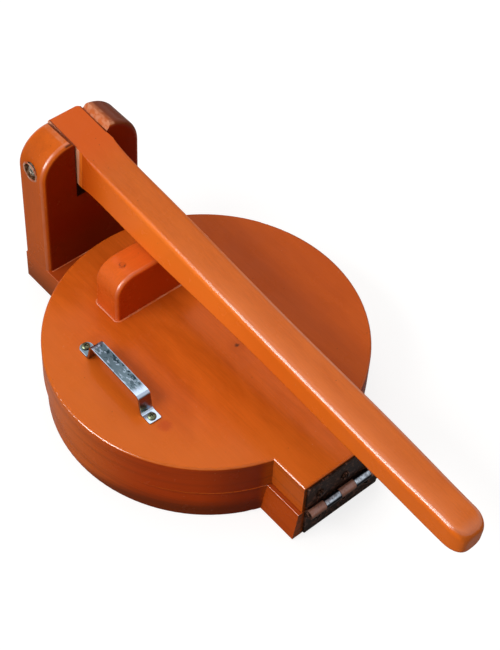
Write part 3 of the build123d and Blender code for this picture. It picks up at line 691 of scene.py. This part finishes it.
def zinc_material(metal):
    """Zinc plate, rougher where dark blotches dull it, with painted reflections in light and dark blotches, on its
    bends, front foot, front, edges and risers, and a painted shadow at its rear bend.
    """
    zinc = Finish("blotched_zinc")
    b = zinc.b
    low, high = (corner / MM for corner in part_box("strap_handle"))
    grip = b.ramp(zinc.at[2], high.z - 1.8, high.z - 0.9)
    blotch = b.group("metal_blotches", {"Vector": zinc.place, "Scale": 0.34, "Share": 0.55})
    rear = b.ramp(zinc.at[0], low.x + 30.0, high.x - 22.0, 1.0, 0.0)
    middle = (low.y + high.y) / 2
    aside = b.minus(b.plus(zinc.at[1], b.times(zinc.at[0], 0.0227)), middle - 0.15)
    spots = b.noise(b.stretched(zinc.place, 0.30, 0.55, 1.0), 0.55, 2.0, 0.5)
    spots = b.times(b.ramp(spots, 0.50, 0.54), b.ramp(b.size(b.minus(aside, 3.2)), 1.5, 1.9, 1.0, 0.0))
    spots = b.times(spots, b.ramp(zinc.at[0], high.x - 20.0, high.x - 26.0))
    dark = b.times(b.math("MAXIMUM", b.times(blotch["Dark"], 0.55), spots), grip)
    # Painted reflection: the rear of the grip paler.
    tone = b.mix(b.times(b.plus(b.times(rear, 0.8), 0.2), grip), b.scaled(metal.zinc, 1.9), metal.zinc)
    colour = b.mix(b.times(dark, 0.9), tone, metal.zinc_dark_spot_and_reflection)
    colour = b.mix(b.times(b.times(blotch["Bright"], grip), 0.28), colour, metal.zinc_reflection)
    # Painted reflection on the bends.
    bend_glint = b.times(b.ramp(zinc.normal[2], 0.985, 0.93), b.ramp(zinc.normal[2], 0.35, 0.75))
    colour = b.mix(b.times(bend_glint, 0.85), colour, metal.zinc_reflection)
    # Painted reflection of the lid on the risers.
    riser_reflection = b.ramp(b.size(zinc.normal[2]), 0.55, 0.2)
    colour = b.mix(b.times(riser_reflection, 0.8), colour, (0.24, 0.14, 0.13))
    # Painted reflection on the front foot and the front of the grip.
    foot = b.times(b.ramp(zinc.at[2], low.z + 7.5, low.z + 3.0), b.ramp(zinc.at[0], 0.0, 5.0))
    front = b.times(b.ramp(zinc.at[0], high.x - 25.0, high.x - 18.0), grip)
    colour = b.mix(b.times(b.math("MAXIMUM", foot, front), 0.8), colour, metal.zinc_reflection)
    # Painted shadow at the rear bend.
    back = b.ramp(zinc.at[0], low.x + 23.0, low.x + 18.0)
    colour = b.mix(b.times(b.times(back, grip), 0.45), colour, (0.26, 0.20, 0.25))
    back = b.ramp(zinc.at[0], low.x + 18.0, low.x + 16.0)
    colour = b.mix(b.times(b.times(back, grip), 0.85), colour, (0.050, 0.010, 0.012))
    # Painted highlight along the grip's edges.
    edge = b.times(b.ramp(b.size(aside), 4.6, 5.1), b.times(b.noise(zinc.place, 0.12, 2.0), 1.1))
    edge = b.times(edge, b.ramp(aside, -1.0, 1.0, 1.0, 0.45))
    colour = b.mix(edge, colour, metal.zinc_reflection)
    zinc.set(Base_Color=colour, Roughness=b.blend(dark, 0.20, 0.36), Metallic=1.0)
    zinc.bump(blotch["Height"], 0.12 * MM, 0.5)
    return zinc.material


def steel_material(name, clean, dull, share, roughness, scale):
    """Steel that is patchy where it has dulled."""
    steel = Finish(name)
    b = steel.b
    blotch = b.group("metal_blotches", {"Vector": steel.place, "Scale": scale, "Share": share})
    steel.set(
        Base_Color=b.mix(blotch["Dark"], clean, dull),
        Roughness=b.blend(blotch["Dark"], roughness, min(1.0, roughness + 0.28)),
        Metallic=b.blend(blotch["Dark"], 1.0, 0.55),
    )
    steel.bump(b.noise(steel.place, 1.6, 3.0), 0.06 * MM, 0.4)
    return steel.material


def dusty_material(metal):
    """Steel of the bolt's end and its nut, dull with dust, with painted shade in the bolt's hollow."""
    low, high = (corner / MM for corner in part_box("pivot_bolt"))
    dusty = Finish("dusty_bolt")
    b = dusty.b
    off_axis = b.vector("SUBTRACT", dusty.place, tuple((low + high) / 2))
    away = b.vector("LENGTH", b.stretched(off_axis, 1.0, 0.0, 1.0))
    colour = b.mix(b.ramp(b.noise(dusty.place, 0.5, 4.0, 0.6), 0.40, 0.62), metal.dust, metal.bolt_dark)
    # Painted shade in the bolt's hollow.
    hollow = b.times(b.ramp(away, 1.7, 2.3, 1.0, 0.0), b.ramp(dusty.at[1], low.y - 1.4, low.y - 0.6))
    dusty.set(
        Base_Color=b.mix(hollow, colour, (0.008, 0.006, 0.004)),
        Roughness=b.blend(hollow, 0.65, 0.8),
        Metallic=0.1,
    )
    dusty.bump(b.noise(dusty.place, 1.2, 3.0), 0.08 * MM)
    return dusty.material


def knuckle_material(name, metal, knuckle, streak, metallic):
    """Hinge leaf whose knuckles have their own finish, painted shade under them and a painted glint along their
    tops, with the seam of the rolled sheet.
    """
    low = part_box("hinge_leaf_base")[0] / MM
    pin_low, pin_high = (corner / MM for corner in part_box("hinge_pin"))
    steel = Finish(name)
    b = steel.b
    barrel = b.ramp(steel.at[0], low.x + 2.2, low.x + 3.2)
    blotch = b.group("metal_blotches", {"Vector": steel.place, "Scale": 0.35, "Share": 0.6})
    colour = b.mix(b.times(blotch["Dark"], 0.35), metal.hinge, metal.hinge_rust)
    # Painted shade: the knuckles darken as they turn down and back.
    upward = b.plus(b.times(steel.normal[0], 0.50), b.times(steel.normal[2], 0.866))
    knuckle = b.mix(b.ramp(upward, 0.15, 0.85), b.scaled(knuckle, 0.22), knuckle)
    colour = b.mix(barrel, colour, knuckle)
    # Painted glint along the knuckles' upper side, in patches.
    worn_and_lit = b.times(b.ramp(upward, 0.84, 0.99), barrel)
    worn_and_lit = b.times(worn_and_lit, b.ramp(b.noise(steel.place, 0.35, 4.0, 0.6), 0.35, 0.60, 0.35, 1.0))
    colour = b.mix(b.times(worn_and_lit, streak), colour, metal.hinge_glint)
    grime = b.ramp(b.noise(steel.place, 0.5, 5.0, 0.65), 0.50, 0.74, 0.0, 0.6)
    colour = b.mix(grime, colour, (0.020, 0.012, 0.008))
    seam = b.size(b.minus(steel.at[2], (pin_low.z + pin_high.z) / 2 - 2.4))
    seam = b.times(b.ramp(seam, 0.15, 0.35, 1.0, 0.0), barrel)
    colour = b.mix(b.times(seam, 0.8), colour, (0.008, 0.005, 0.004))
    steel.set(
        Base_Color=colour,
        Roughness=b.plus(b.blend(barrel, 0.42, 0.30), b.times(grime, 0.3)),
        Metallic=b.blend(barrel, 0.6, metallic),
    )
    steel.shader.inputs["Specular IOR Level"].default_value = 0.2
    height = b.minus(b.noise(steel.place, 1.1, 4.0), b.times(seam, 1.5))
    steel.bump(height, 0.10 * MM)
    return steel.material


# --- Making pieces ---------------------------------------------------------------------------
def dress(material, *nodes):
    """Gives a material to CAD nodes that stay."""
    for name in nodes:
        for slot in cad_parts[name].material_slots:
            slot.material = material


def settle(piece, body, replaced=()):
    """Shades a finished piece, says what it rides on, and hides the CAD parts it stands in for."""
    mesh = piece.data
    mesh.polygons.foreach_set("use_smooth", [True] * len(mesh.polygons))
    mesh.set_sharp_from_angle(angle=math.radians(38))
    mesh.update()
    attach(piece, body)
    if replaced:
        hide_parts(*replaced)


def grow(name, tree, inputs, path=(), closed=False):
    """Plain mesh object that a geometry tree makes from its inputs and, if it has one, a path."""
    mesh = bpy.data.meshes.new(name)
    edges = [(index, index + 1) for index in range(len(path) - 1)]
    if closed:
        edges.append((len(path) - 1, 0))
    mesh.from_pydata(path, edges, [])
    piece = bpy.data.objects.new(name, mesh)
    bpy.context.scene.collection.objects.link(piece)
    modifier = piece.modifiers.new(name, "NODES")
    modifier.node_group = tree
    for item in tree.interface.items_tree:
        if item.in_out == "INPUT" and item.name in inputs:
            modifier[item.identifier] = inputs[item.name]
    depsgraph = bpy.context.evaluated_depsgraph_get()
    made = bpy.data.meshes.new_from_object(piece.evaluated_get(depsgraph), depsgraph=depsgraph)
    piece.modifiers.remove(modifier)
    piece.data = made
    if not len(made.polygons):
        raise RuntimeError(f"the geometry tree made no faces for {name}")
    return piece


def close_tree(b, geometry, material, sink):
    """Ends a geometry tree with real geometry and its material."""
    real = b.add("GeometryNodeRealizeInstances", {"Geometry": geometry}).outputs[0]
    done = b.add("GeometryNodeSetMaterial", {"Geometry": real, "Material": material}).outputs[0]
    b.feed(sink["Geometry"], done)


def screw_tree():
    """Row of driven screw heads, each turned a little at random."""
    takes = {
        "Count": ("Int", 3),
        "Start": ("Vector", None),
        "Step": ("Vector", None),
        "Turn": ("Vector", None),
        "Head Radius": ("Float", 0.004),
        "Head Height": ("Float", 0.002),
        "Slot Width": ("Float", 0.001),
        "Slot Depth": ("Float", 0.001),
        "Crossed": ("Bool", False),
        "Random Turn": ("Float", 0.5),
        "Seed": ("Int", 1),
        "Material": ("Material", None),
    }
    gives = {"Geometry": ("Geometry", None)}
    tree, b, source, sink = new_group("driven_screws", "GeometryNodeTree", takes, gives)
    radius, height = source["Head Radius"], source["Head Height"]
    rim = b.times(height, 0.22)
    ball = b.add("GeometryNodeMeshUVSphere", {"Segments": 36, "Rings": 20, "Radius": 1.0}).outputs[0]
    shape = {"Geometry": ball, "Scale": b.join(radius, radius, b.minus(height, rim))}
    shape["Translation"] = b.join(0.0, 0.0, rim)
    dome = b.add("GeometryNodeTransform", shape).outputs[0]

    def cut(solid, size, middle):
        cube = b.add("GeometryNodeMeshCube", {"Size": size}).outputs[0]
        moved = b.add("GeometryNodeTransform", {"Geometry": cube, "Translation": middle}).outputs[0]
        values = {"Mesh 1": solid, "Mesh 2": moved}
        return b.add("GeometryNodeMeshBoolean", values, operation="DIFFERENCE").outputs[0]

    wide = b.times(radius, 3.0)
    dome = cut(dome, b.join(wide, wide, height), b.join(0.0, 0.0, b.times(height, -0.5)))
    deep = b.times(source["Slot Depth"], 2.0)
    top = b.join(0.0, 0.0, height)
    slotted = cut(dome, b.join(wide, source["Slot Width"], deep), top)
    arm = b.times(radius, 1.15)
    crossed = cut(dome, b.join(arm, source["Slot Width"], deep), top)
    crossed = cut(crossed, b.join(source["Slot Width"], arm, deep), top)
    values = {"Switch": source["Crossed"], "False": slotted, "True": crossed}
    head = b.add("GeometryNodeSwitch", values, input_type="GEOMETRY").outputs[0]
    line = {"Count": source["Count"], "Start Location": source["Start"], "Offset": source["Step"]}
    row = b.add("GeometryNodeMeshLine", line, mode="OFFSET").outputs[0]
    turn = b.add("FunctionNodeEulerToRotation", {0: source["Turn"]}).outputs[0]
    values = {"Points": row, "Instance": head, "Rotation": turn}
    heads = b.add("GeometryNodeInstanceOnPoints", values).outputs[0]
    chance = b.add("FunctionNodeRandomValue", data_type="FLOAT")
    b.feed(chance.inputs[2], b.times(source["Random Turn"], -1.0))
    b.feed(chance.inputs[3], source["Random Turn"])
    b.feed(chance.inputs["Seed"], source["Seed"])
    spin = b.add("FunctionNodeEulerToRotation", {0: b.join(0.0, 0.0, chance.outputs[1])}).outputs[0]
    values = {"Instances": heads, "Rotation": spin}
    heads = b.add("GeometryNodeRotateInstances", values).outputs[0]
    close_tree(b, heads, source["Material"], sink)
    return tree


def bead_tree():
    """Uneven flat bead along a path, with its corners rounded."""
    takes = {
        "Geometry": ("Geometry", None),
        "Corner": ("Float", 0.003),
        "Bead Width": ("Float", 0.001),
        "Bead Height": ("Float", 0.001),
        "Up": ("Vector", None),
        "Wobble": ("Float", 0.4),
        "Coarseness": ("Float", 150.0),
        "Seed": ("Float", 1.0),
        "Material": ("Material", None),
    }
    gives = {"Geometry": ("Geometry", None)}
    tree, b, source, sink = new_group("uneven_bead", "GeometryNodeTree", takes, gives)
    path = b.add("GeometryNodeMeshToCurve", {"Mesh": source["Geometry"]}).outputs[0]
    values = {"Curve": path, "Count": 10, "Radius": source["Corner"], "Limit Radius": True}
    path = b.add("GeometryNodeFilletCurve", values, mode="POLY").outputs[0]
    values = {"Curve": path, "Length": b.times(source["Bead Width"], 0.5)}
    path = b.add("GeometryNodeResampleCurve", values, mode="LENGTH").outputs[0]
    values = {"Curve": path, "Normal": source["Up"]}
    path = b.add("GeometryNodeSetCurveNormal", values, mode="FREE").outputs[0]
    ring = b.add("GeometryNodeCurvePrimitiveCircle", {"Resolution": 12, "Radius": 1.0}).outputs[0]
    values = {"Geometry": ring, "Scale": b.join(source["Bead Height"], source["Bead Width"], 1.0)}
    ring = b.add("GeometryNodeTransform", values).outputs[0]
    values = {"Curve": path, "Profile Curve": ring, "Fill Caps": True}
    bead = b.add("GeometryNodeCurveToMesh", values).outputs[0]
    where = b.add("GeometryNodeInputPosition").outputs[0]
    noise = {"Vector": where, "W": source["Seed"], "Scale": source["Coarseness"], "Detail": 3.0}
    noise = b.add("ShaderNodeTexNoise", noise, noise_dimensions="4D").outputs[1]
    push = b.vector("SUBTRACT", noise, (0.5, 0.5, 0.5))
    level = b.vector("SUBTRACT", (1.0, 1.0, 1.0), b.vector("ABSOLUTE", source["Up"]))
    push = b.vector("MULTIPLY", push, level)
    push = b.scaled(push, b.times(source["Wobble"], source["Bead Width"]))
    bead = b.add("GeometryNodeSetPosition", {"Geometry": bead, "Offset": push}).outputs[0]
    close_tree(b, bead, source["Material"], sink)
    return tree


def turned_piece(name, profile, centre, material):
    """Solid of revolution around an axis parallel to Y: the profile holds radii and places along Y."""
    shape = bmesh.new()
    points = [shape.verts.new(centre + Vector((0, y, radius))) for radius, y in profile]
    edges = [shape.edges.new(pair) for pair in zip(points, points[1:])]
    bmesh.ops.spin(
        shape,
        geom=points + edges,
        cent=centre,
        axis=(0, 1, 0),
        angle=math.tau,
        steps=48,
        use_merge=True,
    )
    bmesh.ops.remove_doubles(shape, verts=shape.verts, dist=0.01 * MM)
    bmesh.ops.recalc_face_normals(shape, faces=shape.faces)
    mesh = bpy.data.meshes.new(name)
    shape.to_mesh(mesh)
    shape.free()
    mesh.materials.append(material)
    piece = bpy.data.objects.new(name, mesh)
    bpy.context.scene.collection.objects.link(piece)
    return piece


# --- Operators ----------------------------------------------------------------------------
class PRESS_OT_boards(bpy.types.Operator):
    """Varnish the base board and the lid"""

    bl_idname = "press.boards"
    bl_label = "Boards"

    def execute(self, context):
        props = context.scene.press_wood
        dress(lid_material(props, context.scene.press_marks), "lid_board")
        dress(base_material(props), "base_board")
        return {"FINISHED"}


class PRESS_OT_post(bpy.types.Operator):
    """Varnish the post"""

    bl_idname = "press.post"
    bl_label = "Post"

    def execute(self, context):
        dress(post_material(context.scene.press_wood), "post_block")
        return {"FINISHED"}


class PRESS_OT_block(bpy.types.Operator):
    """Varnish the pressure block and its plugs"""

    bl_idname = "press.block"
    bl_label = "Pressure block"

    def execute(self, context):
        props = context.scene.press_wood
        block = block_material("varnished_block", props, props.block_light, props.block_deep)
        dress(block, "pressure_block")
        plug = block_material("varnished_plug", props, props.block_deep, props.board_rim)
        dress(plug, "block_plugs")
        return {"FINISHED"}


class PRESS_OT_lever(bpy.types.Operator):
    """Varnish the lever"""

    bl_idname = "press.lever"
    bl_label = "Lever"

    def execute(self, context):
        dress(lever_material(context.scene.press_wood), "lever_arm")
        return {"FINISHED"}


class PRESS_OT_glue(bpy.types.Operator):
    """Lay the dried glue around the block's foot and in front of the post's"""

    bl_idname = "press.glue"
    bl_label = "Dried glue"

    def execute(self, context):
        marks = context.scene.press_marks
        tree = bead_tree()
        inputs = {
            "Corner": 4.0 * MM,
            "Bead Width": marks.bead_width,
            "Bead Height": marks.bead_height,
            "Up": Vector((0, 0, 1)),
            "Wobble": 0.9,
            "Coarseness": 120.0,
            "Seed": float(marks.seed),
            "Material": glue_material(context.scene.press_wood),
        }
        low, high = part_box("pressure_block")
        x0, y0 = low.x - marks.bead_offset, low.y - marks.bead_offset
        x1, y1 = high.x + marks.bead_offset, high.y + marks.bead_offset
        around = [Vector(xy + (low.z,)) for xy in ((x0, y0), (x1, y0), (x1, y1), (x0, y1))]
        settle(grow("block_glue", tree, inputs, around, closed=True), "lid")
        low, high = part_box("post_block")
        inset = 3.0 * MM
        ends = [Vector((high.x, y, low.z)) for y in (low.y + inset, high.y - inset)]
        settle(grow("post_glue", tree, inputs, ends), "base")
        return {"FINISHED"}


class PRESS_OT_strap(bpy.types.Operator):
    """Plate the strap handle"""

    bl_idname = "press.strap"
    bl_label = "Strap handle"

    def execute(self, context):
        dress(zinc_material(context.scene.press_metal), "strap_handle")
        return {"FINISHED"}


class PRESS_OT_screws(bpy.types.Operator):
    """Drive the screws of the strap handle and of both hinge leaves"""

    bl_idname = "press.screws"
    bl_label = "Screws"

    def execute(self, context):
        marks, metal = context.scene.press_marks, context.scene.press_metal
        tree = screw_tree()
        zinc = steel_material("yellow_zinc", metal.screw, metal.bolt_dark, 0.5, 0.42, 0.7)
        dark = steel_material("dark_screws", metal.hinge, metal.hinge_rust, 0.45, 0.36, 0.8)
        dress(zinc, "post_screws", "block_screws")
        for index, leaf in enumerate(("lid", "base")):
            low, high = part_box("hinge_screws_" + leaf)
            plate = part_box("hinge_leaf_base")[0].x + 1.8 * MM
            radius = (high.z - low.z) / 2
            inputs = {
                "Count": 3,
                "Start": Vector((plate, low.y + radius, (low.z + high.z) / 2)),
                "Step": Vector((0, (high.y - low.y) / 2 - radius, 0)),
                "Turn": Vector((0, math.pi / 2, 0)),
                "Head Radius": radius,
                "Head Height": high.x - plate,
                "Slot Width": marks.screw_slot,
                "Slot Depth": (high.x - plate) * 0.5,
                "Crossed": False,
                "Random Turn": 1.2,
                "Seed": marks.seed + index,
                "Material": dark,
            }
            heads = grow("hinge_screw_heads_" + leaf, tree, inputs)
            settle(heads, leaf, ["hinge_screws_" + leaf])
        low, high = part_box("strap_screws")
        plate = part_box("strap_handle")[0].z + marks.strap_thickness
        radius = marks.strap_screw_radius
        start = Vector((low.x + radius, high.y - radius, plate))
        end = Vector((high.x - radius, low.y + radius, plate))
        inputs = {
            "Count": 2,
            "Start": start,
            "Step": end - start,
            "Turn": Vector((0, 0, 0)),
            "Head Radius": radius,
            "Head Height": high.z - plate,
            "Slot Width": marks.screw_slot,
            "Slot Depth": (high.z - plate) * 0.55,
            "Crossed": True,
            "Random Turn": 0.8,
            "Seed": marks.seed,
            "Material": zinc,
        }
        heads = grow("strap_screw_heads", tree, inputs)
        settle(heads, "lid", ["strap_screws"])
        return {"FINISHED"}


class PRESS_OT_hinge(bpy.types.Operator):
    """Finish the butt hinge"""

    bl_idname = "press.hinge"
    bl_label = "Hinge"

    def execute(self, context):
        metal = context.scene.press_metal
        rusty = knuckle_material("rusty_knuckles", metal, metal.hinge_rust, 0.10, 0.2)
        dress(rusty, "hinge_leaf_base")
        pin = steel_material("dark_pin", metal.hinge, metal.hinge_rust, 0.35, 0.42, 0.8)
        dress(pin, "hinge_pin")
        blue = knuckle_material("polished_knuckles", metal, metal.hinge_blue, 0.85, 0.9)
        dress(blue, "hinge_leaf_lid")
        return {"FINISHED"}


class PRESS_OT_pivot(bpy.types.Operator):
    """Finish the pivot bolt, its hollow end and the chipped pocket"""

    bl_idname = "press.pivot"
    bl_label = "Pivot bolt"

    def execute(self, context):
        marks, metal = context.scene.press_marks, context.scene.press_metal
        steel = steel_material("tarnished_steel", metal.bolt, metal.bolt_dark, 0.45, 0.45, 0.5)
        dress(steel, "pivot_bolt", "head_washer", "lever_spacers")
        dusty = dusty_material(metal)
        dress(dusty, "pivot_nut", "nut_washer")
        low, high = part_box("pivot_bolt")
        centre = Vector(((low.x + high.x) / 2, low.y, (low.z + high.z) / 2))
        profile = [(0, 0.6), (1.6, 0.2), (2.1, -1.2), (2.6, -1.55), (3.7, -1.4), (4.5, -0.7), (4.6, 0.7), (0, 0.9)]
        profile = [(radius * MM, y * MM) for radius, y in profile]
        end = turned_piece("bolt_end", profile, centre, dusty)
        settle(end, "base")
        mouth = Vector((centre.x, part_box("post_block")[0].y, centre.z))
        turns = [math.tau * index / 40 for index in range(40)]
        ring = [Vector((math.cos(turn), 0, math.sin(turn))) * marks.chip_radius + mouth for turn in turns]
        inputs = {
            "Corner": 0.0,
            "Bead Width": marks.chip_width,
            "Bead Height": marks.chip_height,
            "Up": Vector((0, 1, 0)),
            "Wobble": 1.6,
            "Coarseness": 260.0,
            "Seed": float(marks.seed),
            "Material": chip_material(context.scene.press_wood),
        }
        tree = bpy.data.node_groups["uneven_bead"]
        settle(grow("chipped_rim", tree, inputs, ring, closed=True), "base")
        return {"FINISHED"}


class PRESS_OT_stage(bpy.types.Operator):
    """Set the camera, the lamps, the world and the floor"""

    bl_idname = "press.stage"
    bl_label = "Stage"

    def execute(self, context):
        stage = context.scene.press_stage
        context.scene.view_settings.view_transform = "Standard"
        make_camera(context.scene, stage)
        size = (stage.key_length, stage.key_breadth)
        make_lamp("window_lamp", (-0.12, -0.66, 0.70), stage.key_distance, size, stage.key_power)
        size = (stage.glint_length, stage.glint_breadth)
        glint = make_lamp("glint_lamp", (-0.17, -0.925, 0.38), stage.key_distance, size, stage.glint_power)
        glint.visible_diffuse = False
        size = (stage.top_size, stage.top_size)
        make_lamp("top_lamp", (-0.35, 0.25, 1.0), stage.key_distance, size, stage.top_power)
        make_world(context.scene, stage)
        make_floor(stage)
        return {"FINISHED"}


def make_camera(scene, stage):
    """Camera at the photograph's angle."""
    flat = math.cos(stage.elevation)
    back = Vector(
        (math.sin(stage.azimuth) * flat, -math.cos(stage.azimuth) * flat, math.sin(stage.elevation))
    )
    right = (-back).cross(Vector((0, 0, 1))).normalized()
    up = right.cross(-back)
    turned_right = right * math.cos(stage.roll) + up * math.sin(stage.roll)
    turned_up = up * math.cos(stage.roll) - right * math.sin(stage.roll)
    data = bpy.data.cameras.new("photo_camera")
    data.lens = stage.lens
    data.sensor_width = 36.0
    data.clip_start = 0.05
    camera = bpy.data.objects.new("photo_camera", data)
    axes = Matrix((turned_right, turned_up, back)).transposed().to_4x4()
    place = Vector((stage.target_x, stage.target_y, 0)) + back * stage.distance
    camera.matrix_world = Matrix.Translation(place) @ axes
    scene.collection.objects.link(camera)
    scene.camera = camera


def make_lamp(name, direction, distance, size, power):
    """Rectangular lamp that looks at the press, with its long side along the lever."""
    data = bpy.data.lights.new(name, "AREA")
    data.shape = "RECTANGLE"
    data.size, data.size_y = size
    data.energy = power
    lamp = bpy.data.objects.new(name, data)
    way = Vector(direction).normalized()
    side = (Vector((1, 0, 0)) - way * way.x).normalized()
    axes = Matrix((side, way.cross(side), way)).transposed().to_4x4()
    lamp.matrix_world = Matrix.Translation(Vector((0, 0, 0.06)) + way * distance) @ axes
    bpy.context.scene.collection.objects.link(lamp)
    return lamp


def make_world(scene, stage):
    """Plain world: white behind the press and in its gloss, dimmer as light."""
    world = bpy.data.worlds.new("plain_world")
    world.use_nodes = True
    world.node_tree.nodes.clear()
    b = Tree(world.node_tree)
    path = b.add("ShaderNodeLightPath").outputs
    seen = b.math("MAXIMUM", path["Is Camera Ray"], path["Is Glossy Ray"])
    seen = b.math("MAXIMUM", seen, path["Is Transmission Ray"])
    strength = b.blend(seen, stage.ambient, 1.0)
    background = b.add("ShaderNodeBackground", {"Color": (1, 1, 1, 1), "Strength": strength})
    b.add("ShaderNodeOutputWorld", {"Surface": background.outputs[0]})
    scene.world = world


def make_floor(stage):
    """Pale floor that the camera sees as white, with the press's shadow on it."""
    half = stage.floor_size / 2
    corners = [(-half, -half, 0), (half, -half, 0), (half, half, 0), (-half, half, 0)]
    mesh = bpy.data.meshes.new("floor")
    mesh.from_pydata(corners, [], [(0, 1, 2, 3)])
    material = bpy.data.materials.new("pale_floor")
    material.use_nodes = True
    material.node_tree.nodes.clear()
    b = Tree(material.node_tree)
    path = b.add("ShaderNodeLightPath").outputs
    paint = b.add("ShaderNodeBsdfDiffuse", {"Color": (0.30, 0.29, 0.28)}).outputs[0]
    glow = b.add("ShaderNodeEmission", {"Color": (1, 1, 1), "Strength": 0.78}).outputs[0]
    seen = b.add("ShaderNodeAddShader", {0: paint, 1: glow}).outputs[0]
    mixed = b.add("ShaderNodeMixShader", {0: path["Is Camera Ray"], 1: paint, 2: seen})
    b.add("ShaderNodeOutputMaterial", {"Surface": mixed.outputs[0]})
    mesh.materials.append(material)
    floor = bpy.data.objects.new("floor", mesh)
    bpy.context.scene.collection.objects.link(floor)


class PRESS_PT_panel(bpy.types.Panel):
    """Lists the press's pieces and settings"""

    bl_idname = "PRESS_PT_panel"
    bl_label = "Tortilla press"
    bl_space_type = "VIEW_3D"
    bl_region_type = "UI"
    bl_category = "Press"

    def draw(self, context):
        for operator in OPERATORS:
            self.layout.operator(operator.bl_idname)
        for name, group in SETTINGS.items():
            box = self.layout.box()
            for key in group.__annotations__:
                box.prop(getattr(context.scene, name), key)


OPERATORS = (
    PRESS_OT_stage,
    PRESS_OT_boards,
    PRESS_OT_post,
    PRESS_OT_block,
    PRESS_OT_lever,
    PRESS_OT_glue,
    PRESS_OT_strap,
    PRESS_OT_screws,
    PRESS_OT_hinge,
    PRESS_OT_pivot,
)
SETTINGS = {
    "press_wood": PressWood,
    "press_metal": PressMetal,
    "press_marks": PressMarks,
    "press_stage": PressStage,
}


def register():
    for name, group in SETTINGS.items():
        bpy.utils.register_class(group)
        setattr(bpy.types.Scene, name, bpy.props.PointerProperty(type=group))
    for operator in OPERATORS:
        bpy.utils.register_class(operator)
    bpy.utils.register_class(PRESS_PT_panel)


def unregister():
    bpy.utils.unregister_class(PRESS_PT_panel)
    for operator in reversed(OPERATORS):
        bpy.utils.unregister_class(operator)
    for name, group in SETTINGS.items():
        delattr(bpy.types.Scene, name)
        bpy.utils.unregister_class(group)


def main():
    register()
    for operator in OPERATORS:
        group, name = operator.bl_idname.split(".")
        getattr(getattr(bpy.ops, group), name)()


if __name__ == "__main__":
    main()
